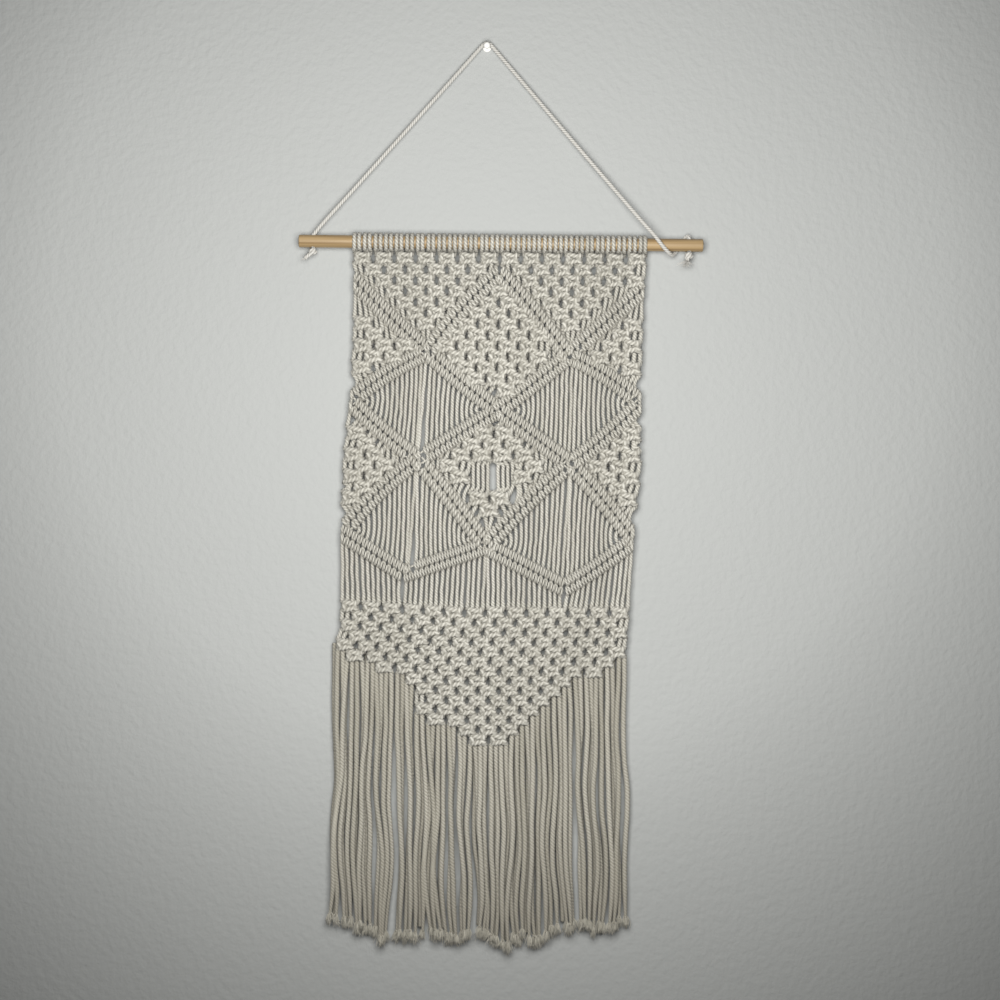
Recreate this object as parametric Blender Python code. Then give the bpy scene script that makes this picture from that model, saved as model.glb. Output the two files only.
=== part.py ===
"""Macrame wall hanging: a knotted cotton panel on a wooden dowel, hung by a cord from a wall pin.

Frame: +X to the right along the dowel, +Y towards the wall, +Z up, metres.
The origin is the middle of the wall pin's flat back, on the wall's surface.
Tables below are in millimetres: x from the pin's axis, drop below it, and depth (Y, negative in
front of the wall).
"""

import math
from collections import namedtuple

import bmesh
import bpy
from mathutils import Matrix, Vector

MM = 0.001
GAP = 0.3  # between neighbouring pieces

# Cotton cord
CORD_D = 4.2  # three-ply cord of the panel
CORDS = 56
COLUMNS = 14  # square knots side by side, four cords each
HANGER_D = 3.6

# Dowel: 1/2 in stock, 16 in long, hanging slightly lower at its right end
DOWEL_D = 12.7
DOWEL_LEFT = (-188.0, 196.0)  # x, drop of the axis at the left end
DOWEL_RIGHT = (216.0, 200.5)
DOWEL_DEPTH = -12.0
DOWEL_SIDES = 20
DOWEL_BEVEL = 0.9
HOLE_D = 5.4
HOLE_X = (-174.0, 202.0)

# Wall pin
PIN_BASE_D = 9.0
PIN_BASE_THICK = 1.6
PIN_SHANK_D = 3.0
PIN_LENGTH = 13.0
PIN_HEAD_D = 6.4
PIN_HEAD_THICK = 3.2

# Depth of the panel's middle layer, and half thicknesses
PANEL_DEPTH = -12.0
KNOT_PEAK = 4.8
KNOT_RIM = 3.0
BAR_RIDGE = 6.0
BAR_EDGE = 4.9
BAR_HALF_WIDTH = 8.8
BAR_OVERRUN = 0.03  # how far a bar runs past its joints, as a share of its length
BAR_PROUD = (0.7, 1.3)  # how far the bars that end and start at the panel's side stand out there
LOWEST_JOINTS = ("low_left", "low_right")  # the bars that end or start here are the lowest
SHORTEST_FLOAT = 29.0  # windows narrower than this, from bar to bar, are left solid
SIDE_START = 2.0  # the cords outside the lowest bars start this far below their side joints
PAIR_SPREAD = 0.6  # of a cord's diameter, from the middle of a pair to each of its cords
SLOPE_STEP = 0.05  # share of a bar's length, either side of where its direction is taken
HEM_HALF_WIDTH = 5.0
HEM_SIDE = 0.7  # the hem's thickness at its edges, as a share of its middle's

# Square-knot fields
ROW_PITCH = 10.9
ROW_START = 213.0
ROW_TILT = 2.0  # how much lower a row lies at the right side
MOST_ROWS = 60
V_ROW_PITCH = 9.7
V_ROW_START = 560.0
V_ROW_STEP = 8.0  # how much lower the rows sit at the middle and right
V_STEP_COLUMNS = 6.0  # columns from the left over which they fall by that
V_TOP = 540.0  # the V's outline starts above its first row
SIDE_REACH = 4.0  # a half knot at the panel's side belongs to a field this far in
GAP_HALF_WIDTH = 2.3
GAP_HALF_HEIGHT = 2.6
FIELD_INSET = 2.0
EDGE_MARGIN = 1.0  # knots end this far above the panel's lower edge
GAP_TO_BAR = 11.0  # a gap nearer than this to a bar's middle line is closed
EDGE_KNOT = 3.5  # half knots at the sides: their crown lies this far in

# Heading: cord loops round the dowel
HEADING_RIDGES = 28
HEADING_SIDES = 8
HEADING_CLEAR = 0.35
HEADING_PEAK = 10.2
HEADING_VALLEY = 8.9

# Fringe
FRINGE_SEGMENTS = 5
FRINGE_STRIP = 5.0  # width of the strip that holds the cords together at their tops
FRINGE_INSET = 2.6  # the outer cords' middle lines, inside the ends of the lower edge
FRINGE_WAVE = (0.35, 0.9)  # how far a cord sways in x and in depth

Side = namedtuple("Side", "drop left right")
SIDES = (
    Side(195.0, -135.0, 161.0),
    Side(245.0, -134.0, 158.0),
    Side(295.0, -133.5, 155.0),
    Side(335.0, -136.0, 154.0),
    Side(355.0, -138.0, 155.0),
    Side(385.0, -140.5, 154.5),
    Side(415.0, -144.0, 153.5),
    Side(440.0, -145.0, 152.0),
    Side(480.0, -147.0, 148.0),
    Side(545.0, -147.0, 145.0),
    Side(575.0, -147.0, 142.5),
    Side(595.0, -151.0, 140.5),
    Side(630.0, -157.0, 138.0),
)

# Where the double half-hitch bars meet
Joint = namedtuple("Joint", "x drop")
JOINTS = {
    "apex": Joint(12, 228),
    "corner_left": Joint(-134, 234),
    "corner_right": Joint(157, 243),
    "cross_left_1": Joint(-59, 307),
    "cross_right_1": Joint(81, 311),
    "side_left_1": Joint(-137, 356),
    "side_right_1": Joint(154, 358),
    "centre_1": Joint(11, 365),
    "cross_left_2": Joint(-69, 415),
    "cross_right_2": Joint(83, 419),
    "side_left_2": Joint(-145, 488),
    "side_right_2": Joint(147, 495),
    "centre_2": Joint(-1, 501),
    "low_left": Joint(-83, 529),
    "low_right": Joint(77, 543),
}

# Each bar runs between two joints; lift is how far its middle bows up
Bar = namedtuple("Bar", "start end lift")
BARS = (
    Bar("apex", "cross_left_1", 5),
    Bar("corner_left", "cross_left_1", -2),
    Bar("apex", "cross_right_1", 3),
    Bar("corner_right", "cross_right_1", 0),
    Bar("cross_left_1", "side_left_1", 4),
    Bar("cross_left_1", "centre_1", -2),
    Bar("cross_right_1", "side_right_1", 5),
    Bar("cross_right_1", "centre_1", -1),
    Bar("side_left_1", "cross_left_2", -2),
    Bar("centre_1", "cross_left_2", 0),
    Bar("side_right_1", "cross_right_2", -3),
    Bar("centre_1", "cross_right_2", 0),
    Bar("cross_left_2", "side_left_2", 6),
    Bar("cross_left_2", "centre_2", 2),
    Bar("cross_right_2", "side_right_2", 3),
    Bar("cross_right_2", "centre_2", 3),
    Bar("side_left_2", "low_left", 0),
    Bar("low_left", "centre_2", 0),
    Bar("centre_2", "low_right", 0),
    Bar("low_right", "side_right_2", -2),
)

# Lower edge of the panel, left to right
V_EDGE = (
    Joint(-157, 611),
    Joint(-123, 620),
    Joint(-84, 639),
    Joint(-72, 664),
    Joint(-43, 687),
    Joint(-9, 712),
    Joint(21, 700),
    Joint(50, 671),
    Joint(81, 641),
    Joint(117, 631),
    Joint(139, 627),
)

# Square-knot fields: the corners of each, in order
FIELDS = {
    "upper_left": ("@-136,196", "@10,196", "apex", "cross_left_1", "corner_left"),
    "upper_right": ("@14,196", "@162,196", "corner_right", "cross_right_1", "apex"),
    "diamond_1": ("apex", "cross_right_1", "centre_1", "cross_left_1"),
    "left_1": ("corner_left", "cross_left_1", "side_left_1"),
    "right_1": ("corner_right", "side_right_1", "cross_right_1"),
    "diamond_2": ("centre_1", "cross_right_2", "centre_2", "cross_left_2"),
    "left_2": ("side_left_1", "cross_left_2", "side_left_2"),
    "right_2": ("side_right_1", "side_right_2", "cross_right_2"),
}

# Knotted so tightly that the gaps between knots are under 4 mm
TIGHT_FIELDS = ("upper_right", "right_1", "right_2")

# Open windows where the cords hang unknotted between two bars: the four joints round each
Window = namedtuple("Window", "left top right bottom")
WINDOWS = (
    Window("side_left_1", "cross_left_1", "centre_1", "cross_left_2"),
    Window("centre_1", "cross_right_1", "side_right_1", "cross_right_2"),
    Window("side_left_2", "cross_left_2", "centre_2", "low_left"),
    Window("centre_2", "cross_right_2", "side_right_2", "low_right"),
)

# Small window in the second diamond, with a slot between its two groups of cords
EYE = Joint(4.4, 432)
EYE_HALF_WIDTH = 24.0
EYE_HALF_HEIGHT = 19.0
EYE_SLOT = 7.0
EYE_CORDS = 10
EYE_PITCH = 4.8
EYE_REACH = 12.0

# Cut ends of the fringe, left to right
Trim = namedtuple("Trim", "x drop")
TRIMS = (
    Trim(-157, 883),
    Trim(-137, 889),
    Trim(-121, 891),
    Trim(-100, 904),
    Trim(-77, 897),
    Trim(-47, 898),
    Trim(-31, 903),
    Trim(-13, 891),
    Trim(-3, 897),
    Trim(18, 910),
    Trim(39, 898),
    Trim(52, 904),
    Trim(73, 891),
    Trim(98, 889),
    Trim(113, 891),
    Trim(138, 887),
)

# Stopper knots
KNOT_SIZE = (8.4, 7.6, 6.8)  # across, deep and tall
KNOT_FALL = 3.4  # from its top to its middle
TAIL_START = 3.6
TAIL_FORWARD = 0.8  # how far a tail's end stands out in front
LEFT_TAILS = ((-5.5, 4.6, 4.0),)  # lean, length and width of each
RIGHT_TAILS = ((-8.0, 9.0, 3.4), (-1.0, 10.5, 3.4), (6.5, 8.5, 3.4))

# Hanger cord's route from the left knot over the pin, round the dowel and down its right hole
Route = namedtuple("Route", "x depth drop")
HANGER_ROUTE = (
    Route(-174.0, -12.0, 202.4),
    Route(-174.0, -12.0, 196.0),
    Route(-173.6, -12.1, 190.5),
    Route(-169.0, -12.0, 184.0),
    Route(-129.4, -10.6, 139.6),
    Route(-69.6, -8.3, 72.5),
    Route(-14.0, -6.2, 9.8),
    Route(-6.5, -5.6, 1.2),
    Route(-2.6, -5.5, -2.6),
    Route(0.0, -5.5, -3.6),
    Route(2.6, -5.5, -2.6),
    Route(6.5, -5.6, 1.6),
    Route(14.0, -6.2, 10.6),
    Route(71.5, -10.2, 79.0),
    Route(123.0, -14.6, 140.0),
    Route(156.0, -18.6, 179.0),
    Route(166.5, -20.2, 191.0),
    Route(175.0, -20.7, 202.0),
    Route(181.5, -17.5, 208.5),
    Route(185.5, -11.5, 210.2),
    Route(189.5, -5.0, 206.0),
    Route(193.5, -3.2, 200.0),
    Route(198.0, -5.0, 193.4),
    Route(201.0, -8.7, 190.8),
    Route(202.0, -11.6, 193.0),
    Route(202.0, -12.0, 199.0),
    Route(202.0, -12.0, 206.5),
)
HANGER_POINTS = 62
HANGER_REACH = 14.0  # of a straight stretch, for each point of the cord
HANGER_BEND = math.radians(22)  # and of a bend
SPAN_SAMPLES = 24  # of the curve between two points of the route, before the points are picked

COTTON = ("natural cotton", (0.66, 0.62, 0.53, 1.0), 0.95)
WOOD = ("pine", (0.56, 0.37, 0.19, 1.0), 0.55)
PIN_WHITE = ("white pin", (0.82, 0.82, 0.80, 1.0), 0.35)


def lerp(a, b, t):
    return a + (b - a) * t


def place(x, depth, drop):
    return Vector((x * MM, depth * MM, -drop * MM))


def material(look):
    name, colour, roughness = look
    made = bpy.data.materials.get(name)
    if made is None:
        made = bpy.data.materials.new(name)
        made.use_nodes = True
        shader = made.node_tree.nodes["Principled BSDF"]
        shader.inputs["Base Color"].default_value = colour
        shader.inputs["Roughness"].default_value = roughness
        shader.inputs["Metallic"].default_value = 0.0
    return made


def add_object(name, bm, look, smooth=True):
    bmesh.ops.recalc_face_normals(bm, faces=bm.faces)
    mesh = bpy.data.meshes.new(name)
    bm.to_mesh(mesh)
    bm.free()
    if smooth:
        mesh.shade_smooth()
        mesh.set_sharp_from_angle(angle=math.radians(40))
    mesh.materials.append(material(look))
    made = bpy.data.objects.new(name, mesh)
    bpy.context.scene.collection.objects.link(made)
    return made


def helper(thing):
    """A cutter or an operand: not a piece of its own."""
    thing.hide_render = True
    thing.display_type = "WIRE"
    return thing


def boolean(target, other, operation, self_overlaps=False):
    step = target.modifiers.new(operation.lower(), "BOOLEAN")
    step.operation = operation
    step.object = helper(other)
    step.solver = "EXACT"
    step.use_self = self_overlaps


def merge_flat(target):
    """Joins the flat faces that a union leaves cut up."""
    step = target.modifiers.new("flat faces", "DECIMATE")
    step.decimate_type = "DISSOLVE"
    step.angle_limit = math.radians(0.3)


# Panel's shape


def side_x(u, drop):
    """x of a cord at u columns from the left side, at this drop."""
    rows = SIDES
    if drop <= rows[0].drop:
        left, right = rows[0].left, rows[0].right
    elif drop >= rows[-1].drop:
        left, right = rows[-1].left, rows[-1].right
    else:
        for a, b in zip(rows, rows[1:]):
            if drop <= b.drop:
                t = (drop - a.drop) / (b.drop - a.drop)
                left, right = lerp(a.left, b.left, t), lerp(a.right, b.right, t)
                break
    return lerp(left, right, u / COLUMNS)


def dowel_drop(x):
    t = (x - DOWEL_LEFT[0]) / (DOWEL_RIGHT[0] - DOWEL_LEFT[0])
    return lerp(DOWEL_LEFT[1], DOWEL_RIGHT[1], t)


def solid_strip(bm, stations):
    """Closed strip through rings of points, one ring per station."""
    rings = [[bm.verts.new(p) for p in ring] for ring in stations]
    count = len(rings[0])
    for a, b in zip(rings, rings[1:]):
        for i in range(count):
            j = (i + 1) % count
            bm.faces.new((a[i], a[j], b[j], b[i]))
    bm.faces.new(rings[0][::-1])
    bm.faces.new(rings[-1])


def bar_point(bar, t):
    a, b = JOINTS[bar.start], JOINTS[bar.end]
    bow = 4.0 * t * (1.0 - t) * bar.lift
    return lerp(a.x, b.x, t), lerp(a.drop, b.drop, t) - bow


def bar_ring(x, drop, across, proud):
    """Cross-section of a ridged bar; across is the direction over it."""
    edge = BAR_HALF_WIDTH
    front = ((-edge, -BAR_EDGE), (0.0, -BAR_RIDGE), (edge, -BAR_EDGE))
    outline = front + ((edge, BAR_EDGE), (-edge, BAR_EDGE))
    ring = []
    for offset, depth in outline:
        px = x + across[0] * offset
        pd = drop + across[1] * offset
        px = min(max(px, side_x(0, pd) - proud), side_x(COLUMNS, pd) + proud)
        ring.append(place(px, PANEL_DEPTH + depth, pd))
    return ring


def add_bar(bm, bar):
    stations = 3 if abs(bar.lift) > 1 else 2
    falls = abs(JOINTS[bar.start].x) > abs(JOINTS[bar.end].x)
    proud = BAR_PROUD[1] if falls else BAR_PROUD[0]
    rings = []
    for i in range(stations):
        t = lerp(-BAR_OVERRUN, 1 + BAR_OVERRUN, i / (stations - 1))
        x, drop = bar_point(bar, t)
        ax, ad = bar_point(bar, t - SLOPE_STEP)
        bx, bd = bar_point(bar, t + SLOPE_STEP)
        length = math.hypot(bx - ax, bd - ad)
        across = (-(bd - ad) / length, (bx - ax) / length)
        rings.append(bar_ring(x, drop, across, proud))
    solid_strip(bm, rings)


def add_strand(bm, points, radius, cords=1):
    """Three-sided cord through (x, depth, drop) points, or a four-sided pair of them."""
    extra = (cords - 1) * PAIR_SPREAD * CORD_D
    side = radius + extra
    outline = ((-side, 0.5 * radius), (-extra, -radius), (extra, -radius), (side, 0.5 * radius))
    if cords == 1:
        outline = outline[:2] + outline[3:]
    rings = []
    for x, depth, drop in points:
        rings.append([place(x + dx, depth + dy, drop) for dx, dy in outline])
    solid_strip(bm, rings)


def bar_at(bar, u):
    """Where a cord at u columns meets a bar."""
    low, high = 0.0, 1.0
    x0, d0 = bar_point(bar, low)
    rising = x0 < side_x(u, d0)
    for _ in range(30):
        mid = (low + high) / 2
        x, drop = bar_point(bar, mid)
        if (x < side_x(u, drop)) == rising:
            low = mid
        else:
            high = mid
    return bar_point(bar, (low + high) / 2)


def find_bar(a, b):
    for bar in BARS:
        if {bar.start, bar.end} == {a, b}:
            return bar
    raise ValueError(a + b)


def reaches(bar, u):
    us = [joint_u(JOINTS[bar.start]), joint_u(JOINTS[bar.end])]
    return min(us) <= u <= max(us)


def joint_u(joint):
    left, right = side_x(0, joint.drop), side_x(COLUMNS, joint.drop)
    return COLUMNS * (joint.x - left) / (right - left)


def cord_u(index):
    return (index + 0.5) * COLUMNS / CORDS


def add_window(bm, window):
    upper = (find_bar(window.left, window.top), find_bar(window.top, window.right))
    lower = (find_bar(window.left, window.bottom), find_bar(window.bottom, window.right))
    for index in range(CORDS):
        u = cord_u(index)
        above = [bar for bar in upper if reaches(bar, u)]
        below = [bar for bar in lower if reaches(bar, u)]
        if not above or not below:
            continue
        x0, d0 = bar_at(above[0], u)
        x1, d1 = bar_at(below[0], u)
        if d1 - d0 < SHORTEST_FLOAT:
            continue
        points = []
        for t in (0.0, 1.0):
            x = lerp(x0, x1, t)
            drop = lerp(d0, d1, t)
            points.append((x, PANEL_DEPTH, drop))
        add_strand(bm, points, CORD_D / 2)


def v_row_drop(u, row):
    return V_ROW_START + V_ROW_STEP * min(1.0, u / V_STEP_COLUMNS) + V_ROW_PITCH * row


def add_lower_floats(bm):
    """Unknotted cords between the lowest bars and the last knotted panel, drawn in pairs."""
    lowest = [bar for bar in BARS if bar.start in LOWEST_JOINTS or bar.end in LOWEST_JOINTS]
    for index in range(CORDS // 2):
        u = (index + 0.5) * COLUMNS / (CORDS // 2)
        crossed = [bar for bar in lowest if reaches(bar, u)]
        if crossed:
            x0, d0 = bar_at(crossed[0], u)
        else:
            joint = JOINTS["side_left_2"] if u < COLUMNS / 2 else JOINTS["side_right_2"]
            d0 = joint.drop + SIDE_START
            x0 = side_x(u, d0)
        d1 = v_row_drop(u, 0)
        x1 = side_x(u, d1)
        points = []
        for t in (0.0, 1.0):
            x = lerp(x0, x1, t)
            drop = lerp(d0, d1, t)
            points.append((x, PANEL_DEPTH, drop))
        add_strand(bm, points, CORD_D / 2, cords=2)


def inside(x, drop, outline):
    hit = False
    for (ax, ad), (bx, bd) in zip(outline, outline[1:] + outline[:1]):
        if (ad > drop) != (bd > drop) and x < ax + (drop - ad) / (bd - ad) * (bx - ax):
            hit = not hit
    return hit


def edge_distance(x, drop, outline):
    nearest = 1e9
    for (ax, ad), (bx, bd) in zip(outline, outline[1:] + outline[:1]):
        lx, ld = bx - ax, bd - ad
        t = max(0.0, min(1.0, ((x - ax) * lx + (drop - ad) * ld) / (lx * lx + ld * ld)))
        nearest = min(nearest, math.hypot(x - ax - t * lx, drop - ad - t * ld))
    return nearest


def hem_distance(x, drop):
    return min(math.hypot(x - p.x, drop - p.drop) for p in HEM_MARKS)


def near_bar(x, drop):
    """Distance to the nearest bar or to the hem's middle line."""
    nearest = hem_distance(x, drop) + HEM_HALF_WIDTH
    for bar in BARS:
        for i in range(13):
            bx, bd = bar_point(bar, i / 12)
            nearest = min(nearest, math.hypot(x - bx, drop - bd))
    return nearest


def add_field(bm, keep, centre, is_tight):
    """Alternating square knots: each is an eight-sided boss, with a gap between four of them.

    keep(x, drop, column, row) says which knots exist, centre(column, row) gives a place in the
    lattice, where both count half pitches and knots lie where column + row is odd, and
    is_tight(x, drop) says where the gaps are closed.
    """
    corners = {}

    def is_closed(x, drop, column, row):
        """A gap is closed in a tight field, and where a bar would half cover it."""
        if near_bar(x, drop) > GAP_TO_BAR and not is_tight(x, drop):
            return False
        sides = ((column + 1, row), (column, row + 1), (column - 1, row), (column, row - 1))
        found = 0
        for c, r in sides:
            if 0 <= c <= 2 * COLUMNS and r >= 0 and keep(*centre(c, r), c, r):
                found += 1
        return found >= 3

    def corner(column, row, sx, sy, front):
        key = (column, row, sx, sy, front)
        if key not in corners:
            x, drop = centre(column, row)
            x, drop = clip_corner(x + sx * GAP_HALF_WIDTH, drop + sy * GAP_HALF_HEIGHT)
            corners[key] = bm.verts.new(place(x, PANEL_DEPTH + front * KNOT_RIM, drop))
        return corners[key]

    for row in range(MOST_ROWS):
        for column in range(0, 2 * COLUMNS + 1):
            x, drop = centre(column, row)
            if (column + row) % 2 == 0:
                if is_closed(x, drop, column, row):
                    for front in (-1, 1):
                        turns = ((-1, -1), (-1, 1), (1, 1), (1, -1))
                        bm.faces.new([corner(column, row, sx, sy, front) for sx, sy in turns])
                continue
            if not keep(x, drop, column, row):
                continue
            around = (
                (column + 1, row, -1, -1),
                (column + 1, row, -1, 1),
                (column, row + 1, 1, -1),
                (column, row + 1, -1, -1),
                (column - 1, row, 1, 1),
                (column - 1, row, 1, -1),
                (column, row - 1, -1, 1),
                (column, row - 1, 1, 1),
            )
            ring = [corner(*spot, -1) for spot in around]
            if column == 0:
                x += EDGE_KNOT
            elif column == 2 * COLUMNS:
                x -= EDGE_KNOT
            peak = bm.verts.new(place(x, PANEL_DEPTH - KNOT_PEAK, drop))
            for i in range(8):
                bm.faces.new((ring[i], ring[(i + 1) % 8], peak))
            bm.faces.new([corner(*spot, 1) for spot in around])
    open_edges = [e for e in bm.edges if e.is_boundary]
    backs = {v: k for k, v in corners.items()}
    for edge in open_edges:
        a, b = edge.verts
        if backs[a][4] != -1 or backs[b][4] != -1:
            continue
        a2 = corners[backs[a][:4] + (1,)]
        b2 = corners[backs[b][:4] + (1,)]
        bm.faces.new((a, b, b2, a2))


def lattice(column, row):
    """A place in the upper fields' lattice, in half columns and rows."""
    u = column / 2
    drop = ROW_START + ROW_PITCH * row + ROW_TILT * u / COLUMNS
    return side_x(u, drop), drop


def v_lattice(column, row):
    u = column / 2
    drop = v_row_drop(u, row)
    return side_x(u, drop), drop


def clip_corner(x, drop):
    """Keeps a corner inside the panel's sides, just under the heading and above the lower edge."""
    drop = max(drop, dowel_drop(x) + HEADING_PEAK * math.cos(math.pi / HEADING_SIDES) + GAP)
    drop = min(drop, edge_drop(x, V_EDGE) - EDGE_MARGIN)
    left, right = side_x(0, drop) + GAP, side_x(COLUMNS, drop) - GAP
    return min(max(x, left), right), drop


def outline_of(field):
    points = []
    for name in FIELDS[field]:
        if name.startswith("@"):
            x, drop = name[1:].split(",")
            points.append((float(x), float(drop)))
        else:
            points.append(tuple(JOINTS[name]))
    return points


def upper_fields_mesh():
    """All knotted fields above the lowest bars, as one lattice."""
    outlines = {field: outline_of(field) for field in FIELDS}

    def keep(x, drop, column, row):
        if abs(x - EYE.x) < EYE_HALF_WIDTH and abs(drop - EYE.drop) < EYE_HALF_HEIGHT:
            return False
        if column < 2 or column > 2 * COLUMNS - 2:
            x += SIDE_REACH if column < 2 else -SIDE_REACH
            return any(inside(x, drop, outline) for outline in outlines.values())
        for outline in outlines.values():
            if inside(x, drop, outline):
                return edge_distance(x, drop, outline) > FIELD_INSET
        return False

    def is_tight(x, drop):
        return any(inside(x, drop, outlines[field]) for field in TIGHT_FIELDS)

    bm = bmesh.new()
    add_field(bm, keep, lattice, is_tight)
    return bm


def v_outline():
    points = [tuple(p) for p in V_EDGE]
    return points[::-1] + [(V_EDGE[0].x, V_TOP), (-V_EDGE[0].x, V_TOP)]


def v_field_mesh():
    outline = v_outline()

    def keep(x, drop, column, row):
        return inside(x, drop, outline) and hem_distance(x, drop) > HEM_HALF_WIDTH

    bm = bmesh.new()
    add_field(bm, keep, v_lattice, lambda x, drop: False)
    return bm


def hem_line(per_side):
    """Points along the panel's lower edge."""
    points = []
    for a, b in zip(V_EDGE, V_EDGE[1:]):
        for i in range(per_side):
            t = i / per_side
            points.append(Joint(lerp(a.x, b.x, t), lerp(a.drop, b.drop, t)))
    points.append(V_EDGE[-1])
    return points


HEM_MARKS = hem_line(24)


def offset_edge(distance):
    """The panel's lower edge, moved straight out by a distance (up is negative)."""
    moved = []
    for i, here in enumerate(V_EDGE):
        before = V_EDGE[max(0, i - 1)]
        after = V_EDGE[min(len(V_EDGE) - 1, i + 1)]
        normals = []
        for a, b in ((before, here), (here, after)):
            length = math.hypot(b.x - a.x, b.drop - a.drop)
            if length > 0:
                normals.append((-(b.drop - a.drop) / length, (b.x - a.x) / length))
        nx = sum(n[0] for n in normals) / len(normals)
        nd = sum(n[1] for n in normals) / len(normals)
        scale = distance / (nx * nx + nd * nd)
        moved.append(Joint(here.x + nx * scale, here.drop + nd * scale))
    return moved


def add_band(bm, near, far, thickness):
    """A strip along the lower edge, between two offsets of it."""
    upper, lower = offset_edge(near), offset_edge(far)
    middle = offset_edge((near + far) / 2)
    rings = []
    for i in range(len(V_EDGE)):
        ring = []
        for spot, front, height in (
            (upper[i], -1, HEM_SIDE),
            (middle[i], -1, 1.0),
            (lower[i], -1, HEM_SIDE),
            (lower[i], 1, HEM_SIDE),
            (middle[i], 1, 1.0),
            (upper[i], 1, HEM_SIDE),
        ):
            ring.append(place(spot.x, PANEL_DEPTH + front * height * thickness, spot.drop))
        rings.append(ring)
    solid_strip(bm, rings)


# Pieces


def build_dowel():
    start = place(DOWEL_LEFT[0], DOWEL_DEPTH, DOWEL_LEFT[1])
    end = place(DOWEL_RIGHT[0], DOWEL_DEPTH, DOWEL_RIGHT[1])
    along = end - start
    bm = bmesh.new()
    bmesh.ops.create_cone(
        bm,
        cap_ends=True,
        segments=DOWEL_SIDES,
        radius1=DOWEL_D / 2 * MM,
        radius2=DOWEL_D / 2 * MM,
        depth=along.length,
    )
    dowel = add_object("dowel", bm, WOOD)
    dowel.location = (start + end) / 2
    dowel.rotation_euler = along.to_track_quat("Z", "X").to_euler()
    bevel = dowel.modifiers.new("rounded ends", "BEVEL")
    bevel.width = DOWEL_BEVEL * MM
    bevel.segments = 1
    bevel.angle_limit = math.radians(60)
    for i, x in enumerate(HOLE_X):
        cut = bmesh.new()
        bmesh.ops.create_cone(
            cut,
            cap_ends=True,
            segments=12,
            radius1=HOLE_D / 2 * MM,
            radius2=HOLE_D / 2 * MM,
            depth=3 * DOWEL_D * MM,
        )
        drill = add_object(f"drill_{i}", cut, WOOD)
        drill.location = place(x, DOWEL_DEPTH, dowel_drop(x))
        boolean(dowel, drill, "DIFFERENCE")
    return dowel


def build_pin():
    """Round base flat on the wall, a shank and a small head, turned in one profile."""
    profile = (
        (0.0, 0.0),
        (PIN_BASE_D / 2, 0.0),
        (PIN_BASE_D / 2, PIN_BASE_THICK * 0.6),
        (PIN_BASE_D / 2 - 1.2, PIN_BASE_THICK),
        (PIN_SHANK_D / 2, PIN_BASE_THICK + 0.6),
        (PIN_SHANK_D / 2, PIN_LENGTH - PIN_HEAD_THICK),
        (PIN_HEAD_D / 2 - 0.5, PIN_LENGTH - PIN_HEAD_THICK + 0.3),
        (PIN_HEAD_D / 2, PIN_LENGTH - PIN_HEAD_THICK * 0.6),
        (PIN_HEAD_D / 2 - 0.9, PIN_LENGTH - 0.5),
        (0.0, PIN_LENGTH),
    )
    sides = 16
    bm = bmesh.new()
    rings = []
    for radius, out in profile:
        if radius == 0.0:
            rings.append([bm.verts.new((0.0, -out * MM, 0.0))])
            continue
        ring = []
        for i in range(sides):
            angle = 2 * math.pi * i / sides
            across, up = radius * math.cos(angle), radius * math.sin(angle)
            ring.append(bm.verts.new((across * MM, -out * MM, up * MM)))
        rings.append(ring)
    for a, b in zip(rings, rings[1:]):
        for i in range(sides):
            j = (i + 1) % sides
            if len(a) == 1:
                bm.faces.new((a[0], b[i], b[j]))
            elif len(b) == 1:
                bm.faces.new((a[i], a[j], b[0]))
            else:
                bm.faces.new((a[i], a[j], b[j], b[i]))
    return add_object("wall_pin", bm, PIN_WHITE)


def smooth_route(route, count):
    """Evenly spaced points on a centripetal Catmull-Rom curve through the route."""
    knots = [place(p.x, p.depth, p.drop) for p in route]
    knots = [2 * knots[0] - knots[1]] + knots + [2 * knots[-1] - knots[-2]]
    fine = []
    for p0, p1, p2, p3 in zip(knots, knots[1:], knots[2:], knots[3:]):
        t0 = 0.0
        t1 = t0 + (p1 - p0).length ** 0.5
        t2 = t1 + (p2 - p1).length ** 0.5
        t3 = t2 + (p3 - p2).length ** 0.5
        for i in range(SPAN_SAMPLES):
            t = lerp(t1, t2, i / SPAN_SAMPLES)
            a1 = p0 * ((t1 - t) / (t1 - t0)) + p1 * ((t - t0) / (t1 - t0))
            a2 = p1 * ((t2 - t) / (t2 - t1)) + p2 * ((t - t1) / (t2 - t1))
            a3 = p2 * ((t3 - t) / (t3 - t2)) + p3 * ((t - t2) / (t3 - t2))
            b1 = a1 * ((t2 - t) / (t2 - t0)) + a2 * ((t - t0) / (t2 - t0))
            b2 = a2 * ((t3 - t) / (t3 - t1)) + a3 * ((t - t1) / (t3 - t1))
            fine.append(b1 * ((t2 - t) / (t2 - t1)) + b2 * ((t - t1) / (t2 - t1)))
    fine.append(knots[-2])
    # Each step costs by its length and its turn, so bends get more points
    costs = [0.0]
    for i in range(1, len(fine)):
        step = fine[i] - fine[i - 1]
        turn = 0.0
        if i + 1 < len(fine):
            turn = step.angle(fine[i + 1] - fine[i], 0.0)
        costs.append(costs[-1] + step.length / (HANGER_REACH * MM) + turn / HANGER_BEND)
    points = []
    where = 0
    for i in range(count):
        target = costs[-1] * i / (count - 1)
        while where + 1 < len(costs) - 1 and costs[where + 1] < target:
            where += 1
        span = costs[where + 1] - costs[where]
        t = (target - costs[where]) / span if span > 0 else 0.0
        points.append(fine[where].lerp(fine[where + 1], min(1.0, max(0.0, t))))
    return points


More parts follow.
